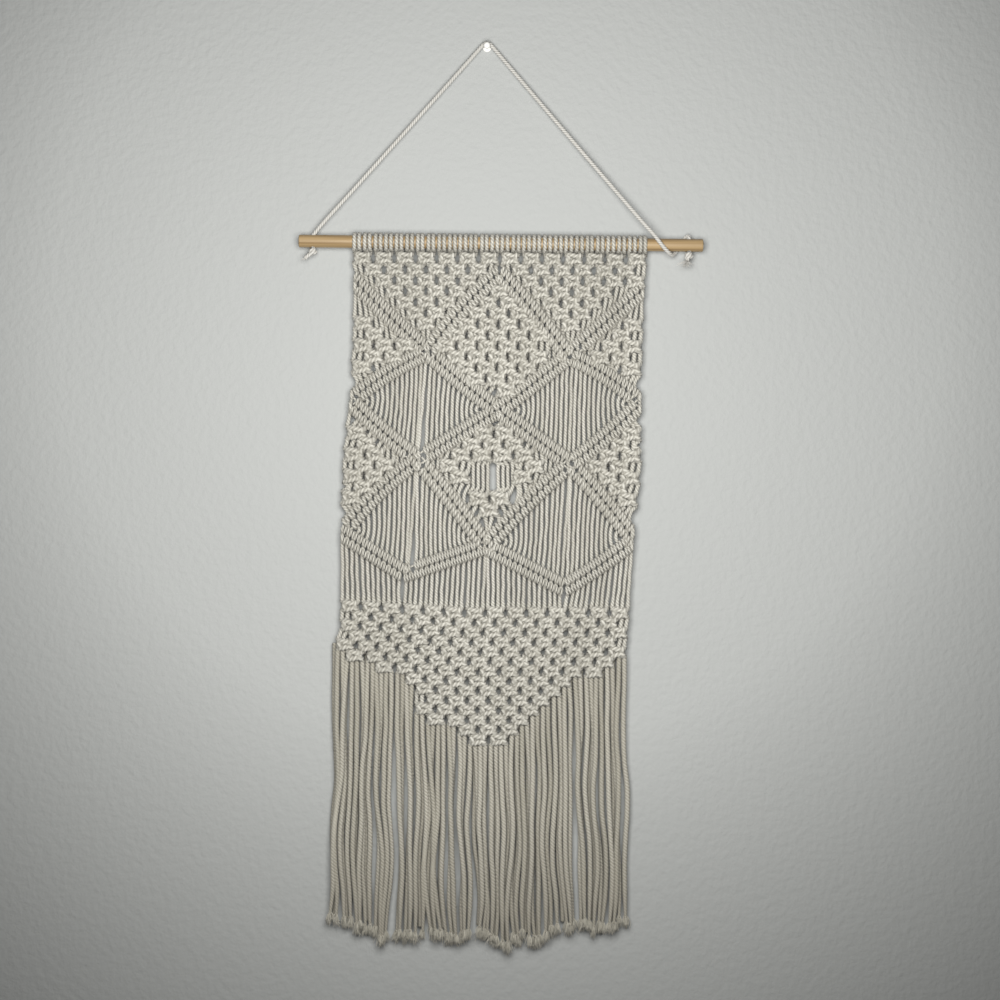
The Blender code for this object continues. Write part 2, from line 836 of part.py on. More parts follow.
def build_hanger():
    curve = bpy.data.curves.new("hanger_cord", "CURVE")
    curve.dimensions = "3D"
    curve.bevel_depth = HANGER_D / 2 * MM
    curve.bevel_resolution = 2
    curve.use_fill_caps = True
    points = smooth_route(HANGER_ROUTE, HANGER_POINTS)
    spline = curve.splines.new("POLY")
    spline.points.add(len(points) - 1)
    for target, point in zip(spline.points, points):
        target.co = (*point, 1.0)
    curve.materials.append(material(COTTON))
    cord = bpy.data.objects.new("hanger_cord", curve)
    bpy.context.scene.collection.objects.link(cord)
    return cord


def lump(bm, centre, size):
    """A squashed ball, in millimetres."""
    shape = Matrix.Translation(place(*centre)) @ Matrix.Diagonal((*(MM * side for side in size), 1.0))
    bmesh.ops.create_icosphere(bm, subdivisions=2, radius=0.5, matrix=shape)


def build_stopper(name, x, tails):
    """Overhand knot under the dowel, with its cut tails."""
    top = dowel_drop(x) + DOWEL_D / 2 + GAP + 0.1
    bm = bmesh.new()
    lump(bm, (x, DOWEL_DEPTH, top + KNOT_FALL), KNOT_SIZE)
    knot = add_object(name, bm, COTTON)
    extra = bmesh.new()
    for lean, length, width in tails:
        points = []
        for t in (0.0, 0.55, 1.0):
            points.append((x + lean * t, DOWEL_DEPTH - TAIL_FORWARD * t, top + TAIL_START + length * t))
        add_strand(extra, points, width / 2)
    tail = add_object(name + "_tails", extra, COTTON)
    boolean(knot, tail, "UNION", self_overlaps=True)
    return knot


def heading_ring(x, radius, sides):
    centre = place(x, DOWEL_DEPTH, dowel_drop(x))
    ring = []
    for i in range(sides):
        angle = 2 * math.pi * (i + 0.5) / sides
        ring.append(centre + Vector((0.0, math.cos(angle) * radius * MM, math.sin(angle) * radius * MM)))
    return ring


def build_heading():
    """Cord loops side by side round the dowel, one ridge to a loop."""
    left, right = side_x(0, ROW_START), side_x(COLUMNS, ROW_START)
    stations = []
    for i in range(HEADING_RIDGES):
        edge = left + (right - left) * i / HEADING_RIDGES
        middle = left + (right - left) * (i + 0.5) / HEADING_RIDGES
        stations.append((edge, HEADING_VALLEY))
        stations.append((middle, HEADING_PEAK))
    stations.append((right, HEADING_VALLEY))
    bm = bmesh.new()
    outer = [[bm.verts.new(p) for p in heading_ring(x, r, HEADING_SIDES)] for x, r in stations]
    bore = (DOWEL_D / 2 + HEADING_CLEAR) / math.cos(math.pi / HEADING_SIDES)
    inner = [[bm.verts.new(p) for p in heading_ring(x, bore, HEADING_SIDES)] for x in (left, right)]
    for a, b in zip(outer, outer[1:]):
        for i in range(HEADING_SIDES):
            j = (i + 1) % HEADING_SIDES
            bm.faces.new((a[i], a[j], b[j], b[i]))
    for i in range(HEADING_SIDES):
        j = (i + 1) % HEADING_SIDES
        bm.faces.new((inner[0][i], inner[0][j], inner[1][j], inner[1][i]))
        bm.faces.new((outer[0][i], outer[0][j], inner[0][j], inner[0][i]))
        bm.faces.new((outer[-1][i], outer[-1][j], inner[1][j], inner[1][i]))
    return add_object("heading", bm, COTTON)


def build_eye():
    """Cords of the small window, in two groups either side of its slot."""
    bm = bmesh.new()
    for side in (-1, 1):
        for i in range(EYE_CORDS // 2):
            x = EYE.x + side * (EYE_SLOT / 2 + CORD_D / 2 + EYE_PITCH * i)
            reach = EYE_HALF_HEIGHT + EYE_REACH
            add_strand(bm, [(x, PANEL_DEPTH, EYE.drop + s * reach) for s in (-1, 1)], CORD_D / 2)
    return bm


def build_panel():
    forms = [upper_fields_mesh()]
    for bar in BARS:
        bm = bmesh.new()
        add_bar(bm, bar)
        forms.append(bm)
    for window in WINDOWS:
        bm = bmesh.new()
        add_window(bm, window)
        forms.append(bm)
    bm = bmesh.new()
    add_lower_floats(bm)
    forms.append(bm)
    forms.append(build_eye())
    bm = bmesh.new()
    add_band(bm, -2 * HEM_HALF_WIDTH, 0.0, BAR_RIDGE)
    forms.append(bm)
    joined = bmesh.new()
    for bm in forms:
        bmesh.ops.recalc_face_normals(bm, faces=bm.faces)
        mesh = bpy.data.meshes.new("form")
        bm.to_mesh(mesh)
        bm.free()
        joined.from_mesh(mesh)
        bpy.data.meshes.remove(mesh)
    panel = add_object("macrame_panel", v_field_mesh(), COTTON)
    operand = add_object("panel_forms", joined, COTTON, smooth=False)
    boolean(panel, operand, "UNION", self_overlaps=True)
    merge_flat(panel)
    return panel


def trim_drop(x):
    for a, b in zip(TRIMS, TRIMS[1:]):
        if x <= b.x:
            return lerp(a.drop, b.drop, max(0.0, (x - a.x) / (b.x - a.x)))
    return TRIMS[-1].drop


def edge_drop(x, line):
    best = line[0].drop if x < line[0].x else line[-1].drop
    for a, b in zip(line, line[1:]):
        if min(a.x, b.x) <= x <= max(a.x, b.x) and a.x != b.x:
            best = lerp(a.drop, b.drop, (x - a.x) / (b.x - a.x))
    return best


def build_fringe():
    strip = bmesh.new()
    add_band(strip, GAP, GAP + FRINGE_STRIP, CORD_D * 0.75)
    bmesh.ops.recalc_face_normals(strip, faces=strip.faces)
    bmesh.ops.triangulate(strip, faces=strip.faces)
    fringe = add_object("fringe", strip, COTTON)
    middle = offset_edge(GAP + FRINGE_STRIP / 2)
    left, right = V_EDGE[0].x + FRINGE_INSET, V_EDGE[-1].x - FRINGE_INSET
    bm = bmesh.new()
    for index in range(CORDS):
        x0 = lerp(left, right, index / (CORDS - 1))
        top = edge_drop(x0, middle)
        bottom = trim_drop(x0)
        points = []
        for i in range(FRINGE_SEGMENTS + 1):
            t = i / FRINGE_SEGMENTS
            drop = lerp(top, bottom, t)
            free = min(1.0, 3 * t)
            x = x0 + FRINGE_WAVE[0] * math.sin(index * 2.4 + t * 9.0) * free
            depth = PANEL_DEPTH + FRINGE_WAVE[1] * math.sin(index * 1.7 + t * 5.0) * free
            points.append((x, depth, drop))
        add_strand(bm, points, CORD_D / 2)
    bmesh.ops.recalc_face_normals(bm, faces=bm.faces)
    bmesh.ops.triangulate(bm, faces=bm.faces)
    strands = add_object("fringe_strands", bm, COTTON, smooth=False)
    boolean(fringe, strands, "UNION")
    merge_flat(fringe)
    return fringe


for old in list(bpy.data.objects):
    bpy.data.objects.remove(old)

build_dowel()
build_pin()
build_hanger()
build_stopper("hanger_knot_left", HOLE_X[0], LEFT_TAILS)
build_stopper("hanger_knot_right", HOLE_X[1], RIGHT_TAILS)
build_heading()
build_panel()
build_fringe()
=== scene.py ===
import math
import random
from collections import namedtuple

import bpy
import numpy as np
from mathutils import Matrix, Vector
from mathutils.kdtree import KDTree


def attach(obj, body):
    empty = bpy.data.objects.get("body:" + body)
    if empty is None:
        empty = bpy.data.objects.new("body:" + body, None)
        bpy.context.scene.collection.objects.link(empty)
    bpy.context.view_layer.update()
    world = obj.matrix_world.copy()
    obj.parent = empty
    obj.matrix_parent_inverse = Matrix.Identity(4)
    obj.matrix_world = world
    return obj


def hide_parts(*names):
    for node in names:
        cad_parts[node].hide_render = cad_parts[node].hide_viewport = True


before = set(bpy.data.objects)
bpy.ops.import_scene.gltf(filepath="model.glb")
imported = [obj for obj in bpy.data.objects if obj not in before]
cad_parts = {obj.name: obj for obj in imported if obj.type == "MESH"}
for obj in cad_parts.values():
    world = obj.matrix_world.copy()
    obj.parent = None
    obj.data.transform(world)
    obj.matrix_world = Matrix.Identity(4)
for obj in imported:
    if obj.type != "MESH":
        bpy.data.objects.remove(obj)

bpy.ops.object.select_all(action="DESELECT")
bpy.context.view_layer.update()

# ---------------------------------------------------------------------------------------------
# Room: the plain painted wall behind the hanging and a pale floor well below it. One soft lamp
# stands close to the camera, with a weak even fill. Sizes here and below are in millimetres: x
# from the wall pin, depth (negative towards the camera) and drop below the pin.

MM = 0.001
VIEW_CENTRE = (13.0, 455.0)  # x and drop in the middle of the view
VIEW_WIDTH = 1000.0  # at the hanging's own distance
CAMERA_AWAY = 2000.0  # from the hanging
HANGING_DEPTH = 12.0
WALL_DEPTH = 0.6
FLOOR_DROP = 1500.0
ROOM_HALF = 3000.0
LAMP_AT = Vector((-10.0, -1050.0, 320.0))  # x, depth and drop
LAMP_SIZE = 0.6
LAMP_POWER = 21.0
FILL_STRENGTH = 0.035
# Painted light falloff on the wall and floor paint: how grey it gets, and where its middle is
PAINTED_FALLOFF_SHARE = 0.5  # how bright the paint is where it is greyest
PAINTED_FALLOFF_CENTRE = (13.0, 250.0)  # x and drop
PAINT_PATCHES = 2.2  # per metre: broad patches where the paint is a little thinner
PAINT_THIN = 0.97  # and how bright it is there


def place(x, depth, drop):
    return Vector((x * MM, depth * MM, -drop * MM))


class Wire:
    """The output of a shader node. Sums and products of it add Math nodes."""

    def __init__(self, finish, socket):
        self.finish = finish
        self.socket = socket

    def _with(self, operation, a, b):
        return self.finish.node("ShaderNodeMath", {"operation": operation}, {0: a, 1: b})

    def __add__(self, other):
        return self._with("ADD", self, other)

    def __radd__(self, other):
        return self._with("ADD", other, self)

    def __rsub__(self, other):
        return self._with("SUBTRACT", other, self)

    def __rmul__(self, other):
        return self._with("MULTIPLY", other, self)


class Finish:
    """A material under way: its shader, and one method that adds any other node."""

    def __init__(self, name, roughness, **shader_values):
        self.material = bpy.data.materials.new(name)
        self.material.use_nodes = True
        self.tree = self.material.node_tree
        self.shader = self.tree.nodes["Principled BSDF"]
        self.shader.inputs["Roughness"].default_value = roughness
        for socket, value in shader_values.items():
            self.shader.inputs[socket.replace("_", " ")].default_value = value

    def node(self, kind, settings, values, output=0):
        made = self.tree.nodes.new(kind)
        for setting, value in settings.items():
            setattr(made, setting, value)
        for key, value in values.items():
            if isinstance(value, Wire):
                self.tree.links.new(value.socket, made.inputs[key])
            else:
                made.inputs[key].default_value = value
        return Wire(self, made.outputs[output])

    def attribute(self, name):
        """A number that a mesh carries at each of its points."""
        return self.node("ShaderNodeAttribute", {"attribute_name": name}, {}, "Fac")

    def object_place(self, stretch=(1.0, 1.0, 1.0)):
        coordinates = self.node("ShaderNodeTexCoord", {}, {}, "Object")
        return self.node("ShaderNodeMapping", {}, {"Vector": coordinates, "Scale": stretch})

    def noise(self, vector, scale, detail=2.0):
        return self.node("ShaderNodeTexNoise", {}, {"Vector": vector, "Scale": scale, "Detail": detail})

    def blend(self, share, first, second):
        """A mix of two colours."""
        return self.node("ShaderNodeMix", {"data_type": "RGBA"}, {0: share, 6: first, 7: second}, 2)

    def spread(self, value, low, high):
        """Stretches the part of a value from low to high over 0 to 1."""
        return self.node("ShaderNodeMapRange", {}, {0: value, 1: low, 2: high})

    def drive(self, socket, wire):
        self.tree.links.new(wire.socket, self.shader.inputs[socket])

    def relief(self, height, distance):
        bump = self.node("ShaderNodeBump", {}, {"Height": height, "Distance": distance, "Strength": 1.0})
        self.drive("Normal", bump)


def painted(name, colour, relief_size, relief_depth, falloff_from, falloff_to):
    """Flat wall paint over the small bumps that a roller leaves, with painted light falloff: greyer far
    from the hanging, where the lamp's light fades.

    The last two arguments are where the painted falloff starts and ends, in metres from its centre.
    """
    finish = Finish(name, 0.85)
    where = finish.object_place()
    middle = place(PAINTED_FALLOFF_CENTRE[0], 0.0, PAINTED_FALLOFF_CENTRE[1])
    away = finish.node("ShaderNodeVectorMath", {"operation": "DISTANCE"}, {0: where, 1: middle}, "Value")
    patches = finish.noise(where, PAINT_PATCHES)
    low, falloff_colour = (tuple(share * c for c in colour[:3]) + (1.0,) for share in (PAINT_THIN, PAINTED_FALLOFF_SHARE))
    near = finish.blend(patches, low, colour)
    finish.drive("Base Color", finish.blend(finish.spread(away, falloff_from, falloff_to), near, falloff_colour))
    stipple = finish.noise(where, 1.0 / relief_size, 3.0)
    finish.relief(finish.spread(stipple, 0.3, 0.7), relief_depth)
    return finish.material


def add_to_scene(name, data):
    made = bpy.data.objects.new(name, data)
    bpy.context.scene.collection.objects.link(made)
    return made


def stand(name, size, centre, turn, material):
    """A wide flat plane of the room."""
    bpy.ops.mesh.primitive_plane_add(size=size, location=centre, rotation=turn)
    made = bpy.context.object
    made.name = name
    bpy.ops.object.transform_apply(location=True, rotation=True, scale=True)
    made.data.materials.append(material)


# Both paints carry painted light falloff: they grey away from a middle near the hanging's top, in place
# of the lamp's light fading
wall_paint = painted("wall_paint", (0.355, 0.367, 0.362, 1.0), 0.0075, 0.0005, 0.45, 0.9)
floor_paint = painted("floor_paint", (0.62, 0.61, 0.59, 1.0), 0.03, 0.0004, 2.0, 6.0)
upright = (math.pi / 2, 0.0, 0.0)
wall_middle = place(0, WALL_DEPTH, FLOOR_DROP - ROOM_HALF)
stand("wall", 2 * ROOM_HALF * MM, wall_middle, upright, wall_paint)
stand("floor", 2 * ROOM_HALF * MM, place(0, -ROOM_HALF, FLOOR_DROP), (0, 0, 0), floor_paint)

lens = bpy.data.cameras.new("view")
lens.sensor_width = 36.0
lens.lens = lens.sensor_width * CAMERA_AWAY / VIEW_WIDTH
camera = add_to_scene("view", lens)
camera.location = place(VIEW_CENTRE[0], -CAMERA_AWAY - HANGING_DEPTH, VIEW_CENTRE[1])
camera.rotation_euler = upright
bpy.context.scene.camera = camera

lamp_data = bpy.data.lights.new("lamp", "AREA")
lamp_data.size = LAMP_SIZE
lamp_data.energy = LAMP_POWER
lamp_data.color = (1.0, 0.985, 0.96)
lamp = add_to_scene("lamp", lamp_data)
lamp.location = place(*LAMP_AT)
lamp.rotation_euler = upright

world = bpy.data.worlds.new("fill")
world.use_nodes = True
world.node_tree.nodes["Background"].inputs["Color"].default_value = (0.93, 0.96, 1.0, 1.0)
world.node_tree.nodes["Background"].inputs["Strength"].default_value = FILL_STRENGTH
bpy.context.scene.world = world
bpy.context.scene.view_settings.view_transform = "Standard"

# ---------------------------------------------------------------------------------------------
# Hanger cord: one length of three-ply cotton cord. It comes up out of the dowel's left hole, goes
# over the wall pin, down in front of the dowel's right end, round under it and behind, and down
# into the second hole.

HANGER_D = 3.6
HANGER_GIRTH = 1.1  # the loose fibre makes it look a little thicker than it measures
PLY_GROOVE = 0.7  # a cord's radius in the grooves between its plies, as a share
PLY_CREST = 1.05  # and on the plies
PLY_SPREAD = math.radians(3.0)  # how far each of a ply's two crest points is moved from the other
PLY_PITCH = 9.0  # length of one full turn of the plies along a straight stretch
KNOT_PITCH = 10.0  # and in a knot, where the plies are drawn out
RING_STEP = 1.2  # a cord's mesh has a ring of points this often along a straight stretch
KNOT_STEP = 1.32  # and in a knot

COTTON_LIGHT = (0.615, 0.605, 0.553, 1.0)
COTTON_DARK = (0.5, 0.49, 0.44, 1.0)
COTTON_FLECK = (0.40, 0.388, 0.345, 1.0)
# Painted shade: the next colour is what the cotton darkens towards in the grooves between plies and
# where a cord faces another; the two shares below say how far
COTTON_PAINTED_SHADE = (0.16, 0.15, 0.125, 1.0)
GROOVE_SHADE = 0.65  # how far the colour darkens where two plies meet
CREVICE_SHADE = 0.8  # and where a cord faces another cord
TONE_SHARE = 0.55  # how much of a cord's tone is its own; the rest drifts along it
FLECK_SHARE = 0.5
DRIFT_SCALE = 26.0  # how fine the cotton's tones, flecks and fibres are, per metre
FLECK_SCALE = 900.0
FIBRE_SCALE = 1500.0
FIBRE_RELIEF = 0.00035  # metres

Route = namedtuple("Route", "x depth drop")
HANGER_ROUTE = (
    Route(-174.0, -12.0, 202.4),
    Route(-174.0, -12.0, 196.0),
    Route(-173.6, -12.1, 190.5),
    Route(-169.0, -12.0, 184.0),
    Route(-129.4, -10.6, 139.6),
    Route(-69.6, -8.3, 72.5),
    Route(-14.0, -6.2, 9.8),
    Route(-6.5, -5.6, 1.2),
    Route(-2.6, -5.5, -2.6),
    Route(0.0, -5.5, -3.6),
    Route(2.6, -5.5, -2.6),
    Route(6.5, -5.6, 1.6),
    Route(14.0, -6.2, 10.6),
    Route(71.5, -10.2, 79.0),
    Route(123.0, -14.6, 140.0),
    Route(156.0, -18.6, 179.0),
    Route(166.5, -20.2, 191.0),
    Route(175.0, -20.7, 202.0),
    Route(181.5, -17.5, 208.5),
    Route(185.5, -11.5, 210.2),
    Route(189.5, -5.0, 206.0),
    Route(193.5, -3.2, 200.0),
    Route(198.0, -5.0, 193.4),
    Route(201.0, -8.7, 190.8),
    Route(202.0, -11.6, 193.0),
    Route(202.0, -12.0, 199.0),
    Route(202.0, -12.0, 206.5),
)


def cotton(name, light=COTTON_LIGHT, dark=COTTON_DARK, ends=None):
    """Unbleached cotton: a soft sheen, tones that drift from cord to cord, and darker flecks, with
    painted shade in the grooves between plies and where a cord faces another cord.

    ends is a (drop, drop, colour) to turn towards between the two drops, for the fringe: painted
    shade, darker towards the cut ends where the lamp's light falls off.
    """
    finish = Finish(name, 0.9, Sheen_Weight=0.12, Sheen_Roughness=0.5, Specular_IOR_Level=0.2)
    where = finish.object_place()
    drift = finish.noise(where, DRIFT_SCALE, 3.0)
    tone = TONE_SHARE * finish.attribute("tone") + (1.0 - TONE_SHARE) * drift
    colour = finish.blend(finish.spread(tone, 0.2, 0.8), dark, light)
    if ends:
        height = finish.node("ShaderNodeSeparateXYZ", {}, {0: where}, 2)
        # Painted shade: the colour darkens towards the given colour between the two drops, towards the
        # cut ends where the light falls off
        colour = finish.blend(finish.spread(height, -ends[0] * MM, -ends[1] * MM), colour, ends[2])
    flecks = finish.spread(finish.noise(where, FLECK_SCALE), 0.6, 0.75)
    colour = finish.blend(FLECK_SHARE * flecks, colour, COTTON_FLECK)
    # Painted shade: darker in the grooves between plies and where a cord faces another cord
    colour = finish.blend(GROOVE_SHADE * (1.0 - finish.attribute("ply")), colour, COTTON_PAINTED_SHADE)
    colour = finish.blend(CREVICE_SHADE * finish.attribute("crevice_shade"), colour, COTTON_PAINTED_SHADE)
    finish.drive("Base Color", colour)
    finish.relief(finish.noise(where, FIBRE_SCALE, 3.0), FIBRE_RELIEF)
    return finish.material


def ply_profile(name, radius, per_ply):
    """Cross-section of a three-ply cord: a closed outline with a groove between each two plies."""
    curve = bpy.data.curves.new(name, "CURVE")
    curve.dimensions = "2D"
    spline = curve.splines.new("POLY")
    count = 3 * per_ply
    spline.points.add(count - 1)
    for i, point in enumerate(spline.points):
        out = radius * MM * (PLY_GROOVE if i % per_ply == 0 else PLY_CREST)
        angle = 2 * math.pi * i / count
        if per_ply == 3 and i % per_ply:
            angle += PLY_SPREAD * (1 if i % per_ply == 2 else -1)
        point.co = (out * math.cos(angle), out * math.sin(angle), 0.0, 1.0)
    spline.use_cyclic_u = True
    made = add_to_scene(name, curve)
    made.hide_render = True
    return made


def smooth_route(points, looseness=1.0, girth=1.0, per_span=10):
    """A centripetal Catmull-Rom curve through (x, depth, drop) points, as evenly laid rings.

    looseness, one for all or one for each point, is 0 in a knot and 1 in a straight stretch. girth
    is the share of the full diameter there. Returns the rings' places in millimetres, the turn of
    the plies and the girth at each.
    """
    knots = np.array(points, float)
    looseness = np.broadcast_to(np.asarray(looseness, float), len(knots))
    girth = np.broadcast_to(np.asarray(girth, float), len(knots))
    ends = 2 * knots[[0, -1]] - knots[[1, -2]]
    p = np.vstack([ends[:1], knots, ends[1:]])
    root = np.sqrt(np.linalg.norm(np.diff(p, axis=0), axis=1))
    t1 = root[:-2].reshape(-1, 1, 1)
    t2 = t1 + root[1:-1].reshape(-1, 1, 1)
    t3 = t2 + root[2:].reshape(-1, 1, 1)
    share = (np.arange(per_span) / per_span).reshape(1, -1, 1)
    t = t1 + share * (t2 - t1)
    p0, p1, p2, p3 = (p[k : len(p) - 3 + k].reshape(-1, 1, 3) for k in range(4))
    a1 = p0 * (t1 - t) / t1 + p1 * t / t1
    a2 = p1 * (t2 - t) / (t2 - t1) + p2 * (t - t1) / (t2 - t1)
    a3 = p2 * (t3 - t) / (t3 - t2) + p3 * (t - t2) / (t3 - t2)
    b1 = a1 * (t2 - t) / t2 + a2 * t / t2
    b2 = a2 * (t3 - t) / (t3 - t1) + a3 * (t - t1) / (t3 - t1)
    fine = (b1 * (t2 - t) / (t2 - t1) + b2 * (t - t1) / (t2 - t1)).reshape(-1, 3)
    fine = np.vstack([fine, knots[-1:]])
    along = np.arange(len(fine)) / per_span
    loose = np.interp(along[1:], np.arange(len(knots)), looseness)
    step = np.linalg.norm(np.diff(fine, axis=0), axis=1)
    cost = np.concatenate([[0.0], np.cumsum(step / (KNOT_STEP + (RING_STEP - KNOT_STEP) * loose))])
    turn = np.concatenate([[0.0], np.cumsum(step / (KNOT_PITCH + (PLY_PITCH - KNOT_PITCH) * loose))])
    target = np.linspace(0.0, cost[-1], max(2, int(round(cost[-1])) + 1))
    rings = np.stack([np.interp(target, cost, fine[:, k]) for k in range(3)], axis=1)
    girths = np.interp(target, cost, np.interp(along, np.arange(len(knots)), girth))
    return rings, -2 * math.pi * np.interp(target, cost, turn), girths


def paint_points(mesh, name, values):
    """Keeps one number for each point of a mesh, for its material."""
    layer = mesh.attributes.new(name, "FLOAT", "POINT")
    layer.data.foreach_set("value", np.asarray(values, np.float32))


def clear_selection():
    bpy.ops.object.select_all(action="DESELECT")


def make_normals_outward(seam):
    """Closes the seams of the active mesh, up to this wide in metres, and turns it right side out."""
    bpy.ops.object.mode_set(mode="EDIT")
    bpy.ops.mesh.select_all(action="SELECT")
    bpy.ops.mesh.remove_doubles(threshold=seam)
    bpy.ops.mesh.normals_make_consistent(inside=False)
    bpy.ops.object.mode_set(mode="OBJECT")


def lay_cords(name, profile, laid, tones):
    """Sweeps the profile along each (rings, turns, girths) and makes one mesh of them all."""
    curve = bpy.data.curves.new(name, "CURVE")
    curve.dimensions = "3D"
    curve.bevel_mode = "OBJECT"
    curve.bevel_object = profile
    curve.use_fill_caps = True
    for rings, turns, girths in laid:
        spline = curve.splines.new("POLY")
        spline.points.add(len(rings) - 1)
        places = np.ones((len(rings), 4))
        places[:, 0] = rings[:, 0] * MM
        places[:, 1] = rings[:, 1] * MM
        places[:, 2] = -rings[:, 2] * MM
        spline.points.foreach_set("co", places.ravel())
        spline.points.foreach_set("tilt", turns)
        spline.points.foreach_set("radius", girths)
    made = add_to_scene(name, curve)
    clear_selection()
    made.select_set(True)
    bpy.context.view_layer.objects.active = made
    bpy.ops.object.convert(target="MESH")
    made = bpy.context.object
    sides = len(profile.data.splines[0].points)
    counts = np.array([len(rings) for rings, _, _ in laid])
    caps = 2 * sides * len(laid)  # the end caps' points come first, those of the last cord leading
    cap_tones, ring_tones = np.repeat(tones[::-1], 2 * sides), np.repeat(tones, sides * counts)
    paint_points(made.data, "tone", np.concatenate([cap_tones, ring_tones]))
    # ply is 1 on the plies and 0 in the grooves between them, where the material paints shade
    per_ply = sides // 3
    around = [1.0 if per_ply == 1 or i % per_ply else 0.0 for i in range(sides)]
    paint_points(made.data, "ply", np.concatenate([np.full(caps, 0.5), np.tile(around, counts.sum())]))
    ring_girths = np.repeat(np.concatenate([girths for _, _, girths in laid]), sides)
    paint_points(made.data, "girth", np.concatenate([np.ones(caps), ring_girths]))
    make_normals_outward(0.000001)
    made.data.shade_smooth()
    return made


def fit_piece(piece, material, slot, *nodes):
    piece.data.materials.clear()
    piece.data.materials.append(material)
    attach(piece, "root")
    if nodes:
        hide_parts(*nodes)


hanger_cotton = cotton("hanger_cotton", (0.56, 0.555, 0.53, 1.0), (0.48, 0.47, 0.44, 1.0))
hanger_profile = ply_profile("hanger_profile", HANGER_D / 2, 3)
hanger_laid = smooth_route(HANGER_ROUTE, girth=HANGER_GIRTH)
hanger_rings = hanger_laid[0]
hanger_cord = lay_cords("hanger_cord_laid", hanger_profile, [hanger_laid], [0.6])
fit_piece(hanger_cord, hanger_cotton, "hanger", "hanger_cord")
place(*HANGER_ROUTE[0])
[place(*ring) for ring in hanger_rings[::3]] + [place(*hanger_rings[-1])]

# ---------------------------------------------------------------------------------------------
# Dowel: a length of half-inch pine rod with its end edges eased, and a hole drilled straight down
# near each end for the hanger cord. It hangs a little lower at its right end.

DOWEL_D = 12.7
DOWEL_LEFT = Route(-188.0, -12.0, 196.0)
DOWEL_RIGHT = Route(216.0, -12.0, 200.5)
DOWEL_EASE = 1.1
HOLE_D = 5.4
HOLE_X = (-174.0, 202.0)


def dowel_drop(x):
    share = (x - DOWEL_LEFT.x) / (DOWEL_RIGHT.x - DOWEL_LEFT.x)
    return DOWEL_LEFT.drop + (DOWEL_RIGHT.drop - DOWEL_LEFT.drop) * share


def pine():
    """Pale pine under a thin oil: grain lines along the rod, and a warmer late-wood stripe."""
    finish = Finish("pine", 0.5, Specular_IOR_Level=0.4)
    along = finish.object_place((5.0, 240.0, 240.0))
    thin = finish.object_place((2.5, 560.0, 560.0))
    grain = finish.spread(finish.noise(along, 1.0, 4.0), 0.35, 0.7)
    stripe = finish.spread(finish.noise(thin, 1.0, 2.0), 0.5, 0.66)
    colour = finish.blend(grain, (0.27, 0.185, 0.09, 1.0), (0.36, 0.26, 0.14, 1.0))
    colour = finish.blend(0.6 * stripe, colour, (0.13, 0.075, 0.03, 1.0))
    finish.drive("Base Color", colour)
    finish.drive("Roughness", 0.5 - 0.2 * grain)
    finish.relief(grain, 0.00012)
    return finish.material


def apply_all(piece):
    """Applies every modifier on a piece, then its place."""
    clear_selection()
    piece.select_set(True)
    bpy.context.view_layer.objects.active = piece
    for step in list(piece.modifiers):
        bpy.ops.object.modifier_apply(modifier=step.name)
    bpy.ops.object.transform_apply(location=True, rotation=True, scale=True)


def build_dowel():
    start, end = place(*DOWEL_LEFT), place(*DOWEL_RIGHT)
    lean = (end - start).to_track_quat("Z", "X").to_euler()
    bpy.ops.mesh.primitive_cylinder_add(
        vertices=56,
        radius=DOWEL_D / 2 * MM,
        depth=(end - start).length,
        location=(start + end) / 2,
        rotation=lean,
    )
    dowel = bpy.context.object
    dowel.name = "pine_dowel"
    ease = dowel.modifiers.new("eased ends", "BEVEL")
    ease.width = DOWEL_EASE * MM
    ease.segments = 4
    ease.angle_limit = math.radians(60)
    drills = []
    for x in HOLE_X:
        bpy.ops.mesh.primitive_cylinder_add(
            vertices=28,
            radius=HOLE_D / 2 * MM,
            depth=3 * DOWEL_D * MM,
            location=place(x, DOWEL_LEFT.depth, dowel_drop(x)),
        )
        drill = bpy.context.object
        cut = dowel.modifiers.new("hole", "BOOLEAN")
        cut.object = drill
        drills.append(drill)
    apply_all(dowel)
    for drill in drills:
        bpy.data.objects.remove(drill)
    dowel.data.shade_smooth()
    dowel.data.set_sharp_from_angle(angle=math.radians(35))
    return dowel


dowel = build_dowel()
fit_piece(dowel, pine(), "wood", "dowel")

# ---------------------------------------------------------------------------------------------
# Wall pin: a small white nail with a round head and a collar flat on the wall. The hanger cord
# lies over its shank.

PIN_PROFILE = (
    (0.0, 0.0),
    (4.5, 0.0),
    (4.5, 0.9),
    (4.2, 1.3),
    (3.2, 1.6),
    (1.6, 2.1),
    (1.5, 2.6),
    (1.5, 9.8),
    (2.6, 10.0),
    (3.15, 10.7),
    (3.2, 11.1),
    (3.0, 11.9),
    (2.3, 12.6),
    (1.2, 12.95),
    (0.0, 13.0),
)


def build_pin():
    """Turned about the Y axis from (radius, distance from the wall) pairs."""
    mesh = bpy.data.meshes.new("wall_nail")
    points = [(radius * MM, -out * MM, 0.0) for radius, out in PIN_PROFILE]
    mesh.from_pydata(points, [(i, i + 1) for i in range(len(points) - 1)], [])
    pin = add_to_scene("wall_nail", mesh)
    turned = pin.modifiers.new("turned", "SCREW")
    turned.axis = "Y"
    turned.steps = turned.render_steps = 40
    turned.use_merge_vertices = True
    turned.merge_threshold = 0.00001
    turned.use_normal_calculate = True
    apply_all(pin)
    make_normals_outward(0.00001)
    pin.data.shade_smooth()
    pin.data.set_sharp_from_angle(angle=math.radians(45))
    return pin


